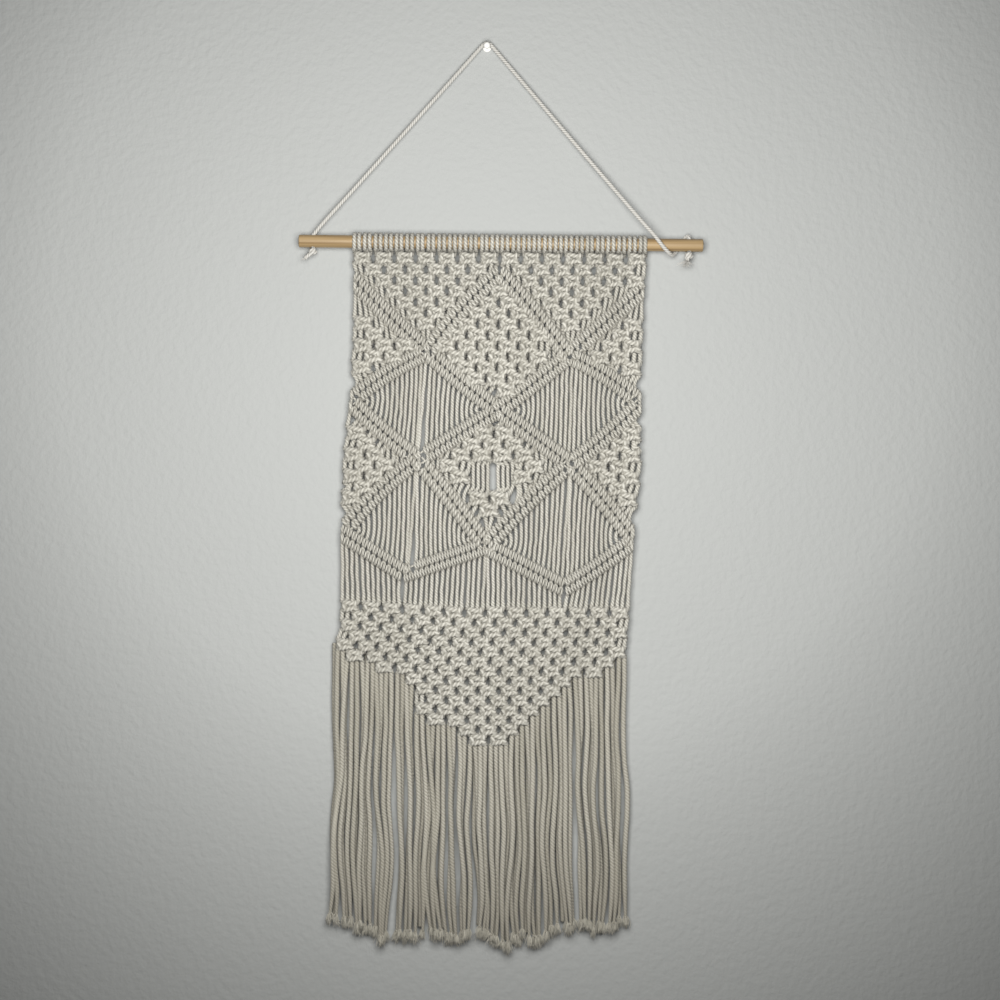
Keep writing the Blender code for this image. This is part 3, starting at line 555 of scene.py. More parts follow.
def enamel():
    """White paint baked on steel, worn a little duller in patches."""
    finish = Finish("white_enamel", 0.35, Coat_Roughness=0.2)
    wear = finish.noise(finish.object_place(), 260.0, 3.0)
    finish.drive("Base Color", finish.blend(wear, (0.66, 0.65, 0.62, 1.0), (0.8, 0.8, 0.78, 1.0)))
    finish.drive("Roughness", 0.25 + 0.25 * wear)
    finish.relief(wear, 0.00005)
    return finish.material


pin = build_pin()
fit_piece(pin, enamel(), "pin", "wall_pin")

# ---------------------------------------------------------------------------------------------
# Stopper knots: the cord's two ends, each tied in an overhand knot under the dowel so that it
# can't pull back through its hole. The left tail is cut square, the right one has frayed out.

KNOT_TOP = DOWEL_D / 2 + 2.2
COIL_RADIUS = 2.5
COIL_TURNS = 1.6
COIL_FALL = 4.2
COIL_STEPS = 14
COIL_START = 0.35  # the coil's first turn widens from this share of its radius
COIL_LEAD = 2.0  # how far above the coil the cord's route starts, in the hole
FRAY_ROOT = 0.28  # how far the fibres stand apart at the cut, as a share of their spread
FRAY_CURL = 0.09  # how far they bend, as a share of their length

fibre_profile = ply_profile("fibre_profile", 0.5, 1)
drawing = random.Random(7)


def coil_route(x, tail):
    """Down out of the hole, round the standing part and out as a tail."""
    depth, top = DOWEL_LEFT.depth, dowel_drop(x) + KNOT_TOP
    route = [(x, depth, top - COIL_LEAD)]
    for i in range(COIL_STEPS + 1):
        share = i / COIL_STEPS
        angle = 2 * math.pi * COIL_TURNS * share
        out = COIL_RADIUS * min(1.0, COIL_START + i / 4)
        route.append((x + out * math.cos(angle), depth - out * math.sin(angle), top + COIL_FALL * share))
    for lean, forward, fall in tail:
        route.append((x + lean, depth - forward, top + fall))
    return route


def frayed(start, heading, count, length, spread):
    """Loose fibres fanning out of a cut end. start and heading are (x, depth, drop)."""
    start, heading = np.array(start, float), np.array(heading, float)
    heading /= np.linalg.norm(heading)
    laid = []
    for _ in range(count):
        lean = np.array([drawing.gauss(0, 1), drawing.gauss(0, 0.7), drawing.gauss(0, 0.35)]) * spread
        reach = length * drawing.uniform(0.65, 1.05)
        root = start + lean * FRAY_ROOT
        curl = np.array([drawing.gauss(0, 1), drawing.gauss(0, 1), 0.0]) * FRAY_CURL * length
        rings = []
        for share in (0.0, 0.25, 0.5, 0.75, 1.0):
            aside = lean * share**1.3 + curl * math.sin(math.pi * share)
            rings.append(root + heading * reach * share + aside)
        laid.append((np.array(rings), np.zeros(len(rings)), np.linspace(1.0, 0.6, len(rings))))
    return laid


def joined(name, parts):
    """Makes one piece of several."""
    clear_selection()
    for part in parts:
        part.select_set(True)
    bpy.context.view_layer.objects.active = parts[0]
    bpy.ops.object.join()
    made = bpy.context.object
    made.name = name
    made.data.name = name
    return made


def build_stopper(name, x, tail, fibres, length, spread):
    """A knot with its tail, through (lean, forward, fall) places, and the tail's loose fibres."""
    route = coil_route(x, tail)
    knot = lay_cords(name, hanger_profile, [smooth_route(route, 0.4, HANGER_GIRTH)], [0.6])
    end, before = route[-1], route[-2]
    heading = [a - b for a, b in zip(end, before)]
    loose = frayed(end, heading, fibres, length, spread)
    tuft = lay_cords(name + "_tuft", fibre_profile, loose, [drawing.random() for _ in loose])
    return joined(name, [knot, tuft])


left_tail = ((-2.5, 1.5, 4.6), (-5.5, 1.8, 6.6), (-8.0, 2.0, 9.0))
right_tail = ((-1.5, 1.5, 5.0), (-2.2, 2.2, 7.0))
left_stopper = build_stopper("stopper_left", HOLE_X[0], left_tail, fibres=14, length=2.2, spread=0.9)
right_stopper = build_stopper("stopper_right", HOLE_X[1], right_tail, fibres=46, length=6.5, spread=2.6)
fit_piece(left_stopper, hanger_cotton, "hanger", "hanger_knot_left")
fit_piece(right_stopper, hanger_cotton, "hanger", "hanger_knot_right")

# ---------------------------------------------------------------------------------------------
# Heading: 28 lengths of three-ply cotton cord, each folded in half and looped over the dowel in a
# lark's head, with the fold behind. Both halves hang down as the panel's 56 cords.

CORD_D = 4.2
CORDS = 56
COLUMNS = 14
PANEL_DEPTH = -12.0
WRAP_RADIUS = DOWEL_D / 2 + 1.0  # of the wraps' middle line: the cords press flat on the dowel
WRAP_SPREAD = 2.35  # half the distance between the two wraps of a loop
WRAP_GIRTH = 1.12
HANG_START = 12.0  # where the hanging cords begin, below the dowel's middle line
HANG_BACK = 0.6  # and behind the panel's middle depth
LOOP_UNEVEN = 0.35
WRAP_UNEVEN = (-0.25, 0.3)
Bend = namedtuple("Bend", "degrees radius out")  # 0 degrees is in front; radius and out are shares
LOOP_BENDS = (
    Bend(238.0, 1.05, 0.9),
    Bend(205.0, 1.0, 0.8),
    Bend(165.0, 1.0, 0.85),
    Bend(125.0, 1.0, 0.95),
    Bend(85.0, 1.0, 1.0),
    Bend(45.0, 1.0, 1.0),
    Bend(5.0, 1.0, 1.0),
    Bend(-35.0, 1.0, 1.03),
    Bend(-70.0, 1.03, 1.1),
    Bend(-97.0, 1.14, 1.2),
)

Side = namedtuple("Side", "drop left right")
SIDES = (
    Side(195.0, -135.0, 161.0),
    Side(245.0, -134.0, 158.0),
    Side(295.0, -133.5, 155.0),
    Side(335.0, -136.0, 154.0),
    Side(355.0, -138.0, 155.0),
    Side(385.0, -140.5, 154.5),
    Side(415.0, -144.0, 153.5),
    Side(440.0, -145.0, 152.0),
    Side(480.0, -147.0, 148.0),
    Side(545.0, -147.0, 145.0),
    Side(575.0, -147.0, 142.5),
    Side(595.0, -151.0, 140.5),
    Side(630.0, -157.0, 138.0),
)


def mix(a, b, share):
    return a + (b - a) * share


def side_x(u, drop):
    """x at u columns from the left side, at this drop."""
    drops = [side.drop for side in SIDES]
    left = np.interp(drop, drops, [side.left for side in SIDES])
    right = np.interp(drop, drops, [side.right for side in SIDES])
    return float(mix(left, right, u / COLUMNS))


def cord_u(index):
    """Where a cord hangs, in columns from the left side."""
    return (index + 0.5) * COLUMNS / CORDS


def cord_start(index):
    """Where a cord leaves its lark's head and hangs down."""
    x = side_x(cord_u(index), dowel_drop(0.0))
    return x, PANEL_DEPTH + HANG_BACK, dowel_drop(x) + HANG_START


def loop_route(index):
    """One lark's head, from its left hanging end to its right one."""
    left, right = cord_start(2 * index), cord_start(2 * index + 1)
    middle = (left[0] + right[0]) / 2 + drawing.uniform(-LOOP_UNEVEN, LOOP_UNEVEN)
    spread = WRAP_SPREAD + drawing.uniform(*WRAP_UNEVEN)
    route = [left]
    for sign, bends in ((-1, LOOP_BENDS), (1, LOOP_BENDS[::-1])):
        for bend in bends:
            x = middle + sign * bend.out * spread
            angle, radius = math.radians(bend.degrees), bend.radius * WRAP_RADIUS
            front, rise = radius * math.cos(angle), radius * math.sin(angle)
            route.append((x, PANEL_DEPTH - front, dowel_drop(x) - rise))
    return route + [right]


cord_cotton = cotton("cord_cotton")
cord_profile = ply_profile("cord_profile", CORD_D / 2, 2)
cord_pieces = []  # each with the cords laid in it, for their shade
loops = []
for index in range(CORDS // 2):
    loops.append(smooth_route(loop_route(index), 0.55, WRAP_GIRTH, per_span=6))
heading = lay_cords("larks_heads", cord_profile, loops, [drawing.random() for _ in loops])
fit_piece(heading, cord_cotton, "cotton", "heading")
cord_pieces.append((heading, loops))

# ---------------------------------------------------------------------------------------------
# Knotted panel: 56 cotton cords. Rows of square knots, four cords to a knot, fill the fields
# between the zigzag bars. Each bar is two rows of half hitches. Between some bars the cords hang
# unknotted, and under the last bars they hang down to a V of square knots.

FIELD_ROWS = 30
FIELD_ROW_START = 213.0
FIELD_ROW_PITCH = 10.9
FIELD_TILT = 2.0  # how much lower a row lies at the right side
V_ROWS = 18
V_ROW_START = 560.0
V_ROW_PITCH = 9.7
V_ROW_STEP = 8.0  # how much lower the V's rows lie at the middle and right
V_ROW_STEP_END = 6.0  # columns from the left side
COLUMN_PITCH = 21.2
KNOT_CLEAR = 10.5  # nearest that a square knot's middle comes to a bar's middle line
EDGE_CLEAR = 5.0  # and to the V's lower edge
HITCH_OFFSET = 4.7  # from a bar's middle line to each of its two rows
HITCH_LEAN = 0.8  # how far the wraps lean from square to the bar towards upright
HITCH_GAP = 7.0  # hitches of one cord are at least this far apart
HITCH_LEAST_GAP = 5.4  # or this far, where bars cross
LEAST_FALL = 0.6  # a cord falls at least this much from one knot to the next
FLOAT_STEP = 9.0  # an unknotted cord is a little uneven this often
FLOAT_SWAY = 0.4
FLOAT_SWAY_DEPTH = (-0.6, 0.4)
BAR_ENDS = (-0.06, 1.06)  # shares of a bar's length: its rows go on a little past the joints
EDGE_INSET = 2.2  # how far inside the panel's sides its outer hitches stay

Joint = namedtuple("Joint", "x drop")
JOINTS = {
    "apex": Joint(12, 228),
    "corner_left": Joint(-134, 234),
    "corner_right": Joint(157, 243),
    "cross_left_1": Joint(-59, 307),
    "cross_right_1": Joint(81, 311),
    "side_left_1": Joint(-137, 356),
    "side_right_1": Joint(154, 358),
    "centre_1": Joint(11, 365),
    "cross_left_2": Joint(-69, 415),
    "cross_right_2": Joint(83, 419),
    "side_left_2": Joint(-145, 488),
    "side_right_2": Joint(147, 495),
    "centre_2": Joint(-1, 501),
    "low_left": Joint(-83, 529),
    "low_right": Joint(77, 543),
}
Bar = namedtuple("Bar", "start end lift")
BARS = (
    Bar("apex", "cross_left_1", 5),
    Bar("corner_left", "cross_left_1", -2),
    Bar("apex", "cross_right_1", 3),
    Bar("corner_right", "cross_right_1", 0),
    Bar("cross_left_1", "side_left_1", 4),
    Bar("cross_left_1", "centre_1", -2),
    Bar("cross_right_1", "side_right_1", 5),
    Bar("cross_right_1", "centre_1", -1),
    Bar("side_left_1", "cross_left_2", -2),
    Bar("centre_1", "cross_left_2", 0),
    Bar("side_right_1", "cross_right_2", -3),
    Bar("centre_1", "cross_right_2", 0),
    Bar("cross_left_2", "side_left_2", 6),
    Bar("cross_left_2", "centre_2", 2),
    Bar("cross_right_2", "side_right_2", 3),
    Bar("cross_right_2", "centre_2", 3),
    Bar("side_left_2", "low_left", 0),
    Bar("low_left", "centre_2", 0),
    Bar("centre_2", "low_right", 0),
    Bar("low_right", "side_right_2", -2),
)
FIELDS = (
    (Joint(-140, 196), Joint(12, 196), "apex", "cross_left_1", "corner_left"),
    (Joint(12, 196), Joint(166, 196), "corner_right", "cross_right_1", "apex"),
    ("apex", "cross_right_1", "centre_1", "cross_left_1"),
    ("corner_left", "cross_left_1", "side_left_1"),
    ("corner_right", "side_right_1", "cross_right_1"),
    ("centre_1", "cross_right_2", "centre_2", "cross_left_2"),
    ("side_left_1", "cross_left_2", "side_left_2"),
    ("side_right_1", "side_right_2", "cross_right_2"),
)
V_EDGE = (
    Joint(-157, 611),
    Joint(-123, 620),
    Joint(-84, 639),
    Joint(-72, 664),
    Joint(-43, 687),
    Joint(-9, 712),
    Joint(21, 700),
    Joint(50, 671),
    Joint(81, 641),
    Joint(117, 631),
    Joint(139, 627),
)

V_TOP = [(-160.0, 540.0), (160.0, 540.0)]  # closes the V's outline above its first row

# The diamonds whose cords hang unknotted, drawn in towards the middle by the knots at each side
OPEN_DIAMONDS = (Joint(-64, 361), Joint(82, 365), Joint(-73, 480), Joint(78, 485))
DIAMOND_HALF_WIDTH = 72.0
DIAMOND_HALF_HEIGHT = 40.0
DIAMOND_MARGIN = 26.0  # the bars round a diamond reach this far above and below its half height
FLOAT_BOW = 5.0
FLOAT_BOW_FULLNESS = 0.6  # 1 for a plain bow, less for one that is full near its ends

# The eye: a slot in the diamond of knots, with its cords drawn aside in two groups
EYE = Joint(6.0, 432)
EYE_HALF_WIDTH = 24.0
EYE_HALF_HEIGHT = 19.0
EYE_SLOT = 6.2
EYE_CORDS = 10
EYE_PITCH = 4.8
EYE_REACH = 13.5  # how far up and down the cords at the slot run straight
EYE_REACH_STEP = 1.2  # and how much less the next cords do

# A square knot, for cords 1 to 4 from the left: cords 1 and 4 are tied round 2 and 3
Turn = namedtuple("Turn", "across up front")
KNOT_FRONT_HALF = (
    Turn(-7.6, 4.7, 0.0),
    Turn(-5.4, 4.3, 1.9),
    Turn(-2.6, 3.7, 3.8),
    Turn(0.6, 2.8, 4.3),
    Turn(3.6, 2.2, 3.4),
    Turn(5.5, 1.5, 1.5),
    Turn(6.1, 0.0, 0.5),
)
KNOT_BACK_HALF = (
    Turn(7.6, 4.7, 1.2),
    Turn(5.9, 3.4, 3.4),
    Turn(5.0, 1.9, 4.4),
    Turn(4.3, 0.8, 2.0),
    Turn(3.4, 1.4, -1.2),
    Turn(1.6, 3.0, -3.4),
    Turn(-1.6, 3.4, -3.8),
    Turn(-4.6, 2.8, -2.4),
    Turn(-6.1, 2.2, 0.6),
    Turn(-5.5, 1.4, 3.6),
    Turn(-5.2, 0.0, 4.7),
)
KNOT_CORE = (Turn(2.5, 6.6, 0.6), Turn(1.95, 3.2, 1.8), Turn(1.95, -3.2, 1.8), Turn(2.5, -6.6, 0.6))
KNOT_GIRTH = 1.36
CORE_GIRTH = 1.2
KNOT_SHIFT = 0.4  # how far a knot is out of its place, across and down
KNOT_SHIFT_DEPTH = 0.35
KNOT_UNEVEN = 0.15
V_GIRTH = 1.12  # the V is knotted tighter: its cords fill more of the gaps
FIELD_SWELL = ((225.0, 1.03), (265.0, 1.1), (300.0, 1.17))  # knots grow from drop to drop
FLOAT_GIRTH = 1.07

# A double half hitch: two wraps side by side over a row's holding cord, drawn together where the
# cord goes on to the bar's other row. apart is 1 where the wraps of a row lie evenly.
Wrap = namedtuple("Wrap", "down front apart")
HITCH_WRAP = (
    Wrap(-3.1, -0.8, 1.0),
    Wrap(-2.7, 1.5, 1.0),
    Wrap(-1.2, 3.4, 1.0),
    Wrap(0.9, 3.5, 1.0),
    Wrap(2.7, 2.5, 0.8),
    Wrap(3.9, 0.9, 0.35),
    Wrap(4.4, -0.8, 0.15),
)
HITCH_CORD = (Turn(0.0, 0.0, -0.6), Turn(0.0, 3.6, 0.4))
HITCH_FILL = 1.06  # a wrap's width, as a share of half the room that its cord has along the bar
HITCH_GIRTH = 0.92
HITCH_UNEVEN = 0.12
HITCH_DRAW = 0.64  # how far the hitches of the two rows are drawn in line with the lean of the wraps
DIAMOND_PART = 2.2  # how far an open diamond's middle cords are pushed aside by the bars' own cords
DIAMOND_PART_REACH = 14.0
HOLDING_GIRTH = 0.62

# What one cord does at one place. wraps are the routes of the wraps that it lays there.
Stretch = namedtuple("Stretch", "drop points looseness girth wraps", defaults=((),))


def bar_point(bar, share, offset=0.0):
    """A point on a bar's middle line, or on the row this far below it."""
    a, b = JOINTS[bar.start], JOINTS[bar.end]
    x = mix(a.x, b.x, share)
    drop = mix(a.drop, b.drop, share) - 4.0 * share * (1.0 - share) * bar.lift
    if offset:
        along_x, along_drop = bar_direction(bar, share)
        x -= along_drop * offset
        drop += along_x * offset
    return x, drop


def bar_direction(bar, share):
    """Unit direction along a bar, always towards the right."""
    ax, ad = bar_point(bar, share - 0.05)
    bx, bd = bar_point(bar, share + 0.05)
    length = math.hypot(bx - ax, bd - ad) * (1 if bx > ax else -1)
    return (bx - ax) / length, (bd - ad) / length


def bar_crossing(bar, u, offset):
    """Where a cord meets one row of a bar, as a share of the bar's length; None if it doesn't."""
    low, high = BAR_ENDS

    def is_left(share):
        x, drop = bar_point(bar, share, offset)
        return x < side_x(u, drop)

    starts_left = is_left(low)
    if is_left(high) == starts_left:
        return None
    for _ in range(18):
        middle = (low + high) / 2
        if is_left(middle) == starts_left:
            low = middle
        else:
            high = middle
    return low


def inside(x, drop, outline):
    """Whether a place is within a closed outline of (x, drop) corners."""
    hit = False
    for (ax, ad), (bx, bd) in zip(outline, outline[1:] + outline[:1]):
        if (ad > drop) != (bd > drop) and x < ax + (drop - ad) / (bd - ad) * (bx - ax):
            hit = not hit
    return hit


def whole_knot(half):
    """A square knot's lower half is its upper half turned over."""
    return half + tuple(Turn(turn.across, -turn.up, turn.front) for turn in half[-2::-1])


bar_marks = np.array([bar_point(bar, i / 16) for bar in BARS for i in range(17)])
edge_marks = np.array(
    [
        (mix(a.x, b.x, i / 12), mix(a.drop, b.drop, i / 12))
        for a, b in zip(V_EDGE, V_EDGE[1:])
        for i in range(13)
    ]
)


def clearance(x, drop, marks):
    """How far a place is from the nearest mark."""
    return float(np.hypot(marks[:, 0] - x, marks[:, 1] - drop).min())


def v_row_drop(u, row):
    """Where a row of the V's knots lies at u columns from the left side."""
    return V_ROW_START + V_ROW_STEP * min(1.0, u / V_ROW_STEP_END) + V_ROW_PITCH * row


def staggered(rows):
    """(column, row) of the knots in so many rows; column counts half pitches."""
    spots = [(column, row) for row in range(rows) for column in range(1, 2 * COLUMNS)]
    return [(column, row) for column, row in spots if (column + row) % 2]


def knot_places():
    """(column, x, drop, row height) of every square knot."""
    fields = [[tuple(JOINTS.get(spot, spot)) for spot in field] for field in FIELDS]
    found = []
    for column, row in staggered(FIELD_ROWS):
        u = column / 2
        drop = FIELD_ROW_START + FIELD_ROW_PITCH * row + FIELD_TILT * u / COLUMNS
        x = side_x(u, drop)
        in_eye = abs(x - EYE.x) < EYE_HALF_WIDTH and abs(drop - EYE.drop) < EYE_HALF_HEIGHT
        if in_eye or clearance(x, drop, bar_marks) < KNOT_CLEAR:
            continue
        if any(inside(x, drop, field) for field in fields):
            found.append((column, x, drop, FIELD_ROW_PITCH))
    field = [tuple(spot) for spot in V_EDGE[::-1]] + V_TOP
    for column, row in staggered(V_ROWS):
        drop = v_row_drop(column / 2, row)
        x = side_x(column / 2, drop)
        if inside(x, drop, field) and clearance(x, drop, edge_marks) > EDGE_CLEAR:
            found.append((column, x, drop, V_ROW_PITCH))
    return found


def tie_square_knot(cords, column, x, drop, height):
    """Adds one square knot to the four cords that it is tied in."""
    first = 2 * column - 2
    u = column / 2
    swell = 1.0 if height == V_ROW_PITCH else float(np.interp(drop, *zip(*FIELD_SWELL)))
    wide = swell * (side_x(u + 0.5, drop) - side_x(u - 0.5, drop)) / COLUMN_PITCH
    tall = swell * height / FIELD_ROW_PITCH
    shift = [drawing.uniform(-most, most) for most in (KNOT_SHIFT, KNOT_SHIFT_DEPTH, KNOT_SHIFT)]
    core_left = tuple(Turn(-turn.across, turn.up, turn.front) for turn in KNOT_CORE)
    routes_in_knot = (whole_knot(KNOT_FRONT_HALF), core_left, KNOT_CORE, whole_knot(KNOT_BACK_HALF))
    for index, turns in enumerate(routes_in_knot):
        points = []
        for turn in turns:
            across = x + shift[0] + turn.across * wide + drawing.uniform(-KNOT_UNEVEN, KNOT_UNEVEN)
            down = drop + shift[2] - turn.up * tall + drawing.uniform(-KNOT_UNEVEN, KNOT_UNEVEN)
            points.append((across, PANEL_DEPTH + shift[1] - turn.front, down))
        girth = CORE_GIRTH if turns in (core_left, KNOT_CORE) else KNOT_GIRTH
        girth *= V_GIRTH if height == V_ROW_PITCH else swell
        cords[first + index].append(Stretch(drop, points, 0.0, girth))


def nearest_diamond(x, drop, half_height):
    """The open diamond round a place, or None."""
    for diamond in OPEN_DIAMONDS:
        if abs(x - diamond.x) < DIAMOND_HALF_WIDTH and abs(drop - diamond.drop) < half_height:
            return diamond
    return None


def diamond_part(x, drop, offset):
    """How far along its bar a hitch next to an open diamond moves away from the diamond's middle."""
    diamond = nearest_diamond(x, drop, DIAMOND_HALF_HEIGHT + DIAMOND_MARGIN)
    if diamond is None or (drop - diamond.drop) * offset > 0:
        return 0.0
    away = x - diamond.x
    return math.copysign(DIAMOND_PART * math.exp(-abs(away) / DIAMOND_PART_REACH), away)


def tie_hitch(cord, bar, u, offset):
    """Adds one double half hitch, where the cord meets one row of a bar."""
    share = bar_crossing(bar, u, offset)
    if share is None:
        return
    x, drop = bar_point(bar, share, offset)
    along_x, along_drop = bar_direction(bar, share)
    draw = -HITCH_DRAW * offset * along_drop / along_x
    draw += diamond_part(x, drop, offset)
    x, drop = x + along_x * draw, drop + along_drop * draw
    down_x, down_drop = -along_drop, along_x + HITCH_LEAN
    length = math.hypot(down_x, down_drop)
    down_x, down_drop = down_x / length, down_drop / length
    pitch = COLUMN_PITCH * COLUMNS / CORDS / along_x
    left, right = side_x(0.0, drop) + EDGE_INSET, side_x(COLUMNS, drop) - EDGE_INSET

    def spot(along, down, front):
        """A place in the row, along it and down across it."""
        across = x + along_x * along + down_x * down + drawing.uniform(-HITCH_UNEVEN, HITCH_UNEVEN)
        fall = along_drop * along + down_drop * down + drawing.uniform(-HITCH_UNEVEN, HITCH_UNEVEN)
        return min(max(across, left), right), PANEL_DEPTH - front, drop + fall

    inward = -1.0 if offset > 0 else 1.0
    wraps = []
    for side in (-pitch / 4, pitch / 4):
        wraps.append([spot(side * wrap.apart, inward * wrap.down, wrap.front) for wrap in HITCH_WRAP])
    points = [spot(turn.across, inward * turn.up, turn.front) for turn in HITCH_CORD]
    if inward < 0:
        points.reverse()
    girth = HITCH_FILL * pitch / 2 / CORD_D
    cord.append(Stretch(drop, points, 0.0, HITCH_GIRTH, tuple((wrap, girth) for wrap in wraps)))


def eye_points(index):
    """Where a cord passes the eye, or nothing."""
    left, right = side_x(0, EYE.drop), side_x(COLUMNS, EYE.drop)
    place_in = index - round(CORDS * (EYE.x - left) / (right - left))
    if not -EYE_CORDS // 2 <= place_in < EYE_CORDS // 2:
        return []
    side = 1 if place_in >= 0 else -1
    count = place_in if side > 0 else -1 - place_in
    x = EYE.x + side * (EYE_SLOT / 2 + CORD_D / 2 + EYE_PITCH * count)
    reach = EYE_REACH - EYE_REACH_STEP * count
    drops = [EYE.drop + share * reach for share in (-1, 0, 1)]
    return [Stretch(drop, [(x, PANEL_DEPTH, drop)], 1.0, FLOAT_GIRTH) for drop in drops]


def float_bow(middle):
    """How far a float's middle is drawn towards the middle of the open diamond that it crosses."""
    diamond = nearest_diamond(middle[0], middle[2], DIAMOND_HALF_HEIGHT)
    return -FLOAT_BOW * (middle[0] - diamond.x) / DIAMOND_HALF_WIDTH if diamond else 0.0


def tied_hitches(drops):
    """The drops of a cord's hitches that are tied. Where bars cross and crowd, the last one stays."""
    kept = [-100.0]
    for drop, following in zip(drops, drops[1:] + [math.inf]):
        if drop - kept[-1] >= HITCH_GAP:
            kept.append(drop)
        elif following - drop >= HITCH_GAP and drop - kept[-2] >= HITCH_GAP:
            if drop - kept[-1] < HITCH_LEAST_GAP:
                kept.pop()
            kept.append(drop)
    return kept


def follow_cord(index, stretches):
    """One cord's route down the panel, its looseness and girth at each point, and its wraps."""
    points, looseness, girth, wraps = [cord_start(index)], [0.5], [WRAP_GIRTH], []
    stretches = sorted(stretches, key=lambda each: each.drop)
    hitches = tied_hitches([stretch.drop for stretch in stretches if stretch.wraps])
    for stretch in stretches:
        tied = list(stretch.points)
        if stretch.wraps:
            if stretch.drop not in hitches:
                continue
            wraps += stretch.wraps
        if len(tied) > 1 and tied[0][2] < points[-1][2] + LEAST_FALL:
            tied = tied[1:]
        before, after = np.array(points[-1]), np.array(tied[0])
        count = int((after[2] - before[2]) / FLOAT_STEP)
        bow = float_bow((before + after) / 2) if count else 0.0
        for i in range(1, count + 1):
            share = i / (count + 1)
            aside = drawing.uniform(-FLOAT_SWAY, FLOAT_SWAY)
            aside += bow * math.sin(math.pi * share) ** FLOAT_BOW_FULLNESS
            sway = np.array([aside, drawing.uniform(*FLOAT_SWAY_DEPTH), 0.0])
            points.append(tuple(before + (after - before) * share + sway))
            looseness.append(1.0)
            girth.append(FLOAT_GIRTH)
        points += tied
        looseness += [stretch.looseness] * len(tied)
        girth += [stretch.girth] * len(tied)
    return points, looseness, girth, wraps


def holding_cord(bar, offset):
    """The cord along one row of a bar, that the others are hitched round."""
    points = []
    for i in range(9):
        x, drop = bar_point(bar, i / 8, offset)
        left, right = side_x(0.0, drop) + EDGE_INSET, side_x(COLUMNS, drop) - EDGE_INSET
        points.append((min(max(x, left), right), PANEL_DEPTH, drop))
    return smooth_route(points, 1.0, HOLDING_GIRTH)


cords = [[] for _ in range(CORDS)]
for knot in knot_places():
    tie_square_knot(cords, *knot)
for index in range(CORDS):
    for bar in BARS:
        for offset in (-HITCH_OFFSET, HITCH_OFFSET):
            tie_hitch(cords[index], bar, cord_u(index), offset)
    cords[index] += eye_points(index)

routes = [follow_cord(index, stretches) for index, stretches in enumerate(cords)]
tones = [drawing.random() for _ in range(CORDS)]
GROUP = 14  # cords in one mesh
for group in range(CORDS // GROUP):
    span = range(group * GROUP, (group + 1) * GROUP)
    laid = [smooth_route(*routes[index][:3], per_span=6) for index in span]
    piece = lay_cords(f"knotted_cords_{group + 1}", cord_profile, laid, [tones[index] for index in span])
    fit_piece(piece, cord_cotton, "cotton", "macrame_panel")
    cord_pieces.append((piece, laid))
laid = [holding_cord(bar, offset) for bar in BARS for offset in (-HITCH_OFFSET, HITCH_OFFSET)]
piece = lay_cords("holding_cords", cord_profile, laid, [0.5] * len(laid))
fit_piece(piece, cord_cotton, "cotton", "macrame_panel")
cord_pieces.append((piece, laid))
laid, shades = [], []
for index, route in enumerate(routes):
    for points, girth in route[3]:
        laid.append(smooth_route(points, 0.0, girth, per_span=4))
        shades.append(tones[index])
piece = lay_cords("hitches", cord_profile, laid, shades)
fit_piece(piece, cord_cotton, "cotton", "macrame_panel")
cord_pieces.append((piece, laid))

# ---------------------------------------------------------------------------------------------
# Fringe: the same 56 cords, hanging free below the last knots, with the ends of the bars' holding
# cords behind them. Some cross, some part, and the cut ends have frayed into small tufts.

Trim = namedtuple("Trim", "x drop")
TRIMS = (
    Trim(-157, 883),
    Trim(-137, 889),
    Trim(-121, 891),
    Trim(-100, 904),
    Trim(-77, 897),
    Trim(-47, 898),
    Trim(-31, 903),
    Trim(-13, 891),
    Trim(-3, 897),
    Trim(18, 910),
    Trim(39, 898),
    Trim(52, 904),
    Trim(73, 891),
    Trim(98, 889),
    Trim(113, 891),
    Trim(138, 887),
)
Parting = namedtuple("Parting", "x width")
PARTINGS = (
    Parting(-113.0, 2.2),
    Parting(-94.0, 3.2),
    Parting(-13.0, 3.4),
    Parting(71.0, 2.6),
    Parting(90.0, 2.0),
)
PARTING_REACH = 9.0
FRINGE_LEFT = -155.5
FRINGE_RIGHT = 139.5
FRINGE_SPAN = 26.0  # a hanging cord bends about this often
DRIFT_KEPT = 0.55  # share of its drift to one side that a cord keeps at the next bend
DRIFT_STEP = 0.36
SPACING_UNEVEN = 0.45
DEPTH_UNEVEN = 0.5
END_UNEVEN = (-5.0, 1.5)
TUFT_UNEVEN = (0.8, 1.2)
Wave = namedtuple("Wave", "width drop x")
WAVES = (Wave(1.6, 31.0, 17.0), Wave(1.1, 19.0, -11.0))  # the lean of neighbouring cords
LAYER_DEPTH = 2.6  # every second cord hangs this far in front of the panel's depth, the others behind
TUFT = 10.0
TUFT_SPREAD = 1.9
FIBRES = 34
FRINGE_GIRTH = 1.26
END_GIRTH = 0.7  # at the cut, hidden in the tuft
FRAY_START = 3.0  # the fibres come loose this far above a cord's end
SWAPS = 18  # pairs of neighbouring cords that change places on the way down
BEHIND = 27  # ends of the bars' holding cords, which hang behind the others
BEHIND_DEPTH = -6.4
BEHIND_RISE = 14.0  # they start this far above the V's lower edge

swinging = random.Random(23)


def fringe_order():
    """Which cord hangs in which place at the bottom."""
    order = list(range(CORDS))
    for _ in range(SWAPS):
        first = swinging.randrange(CORDS - 1)
        order[first], order[first + 1] = order[first + 1], order[first]
    return order


def fringe_sway(x, drop):
    """How far to one side a cord leans here, like the cords next to it."""
    return sum(wave.width * math.sin(drop / wave.drop + x / wave.x) for wave in WAVES)


def fringe_end(x):
    """How far down the cord reaches that hangs here."""
    trim = float(np.interp(x, [trim.x for trim in TRIMS], [trim.drop for trim in TRIMS]))
    return trim - TUFT + swinging.uniform(*END_UNEVEN)


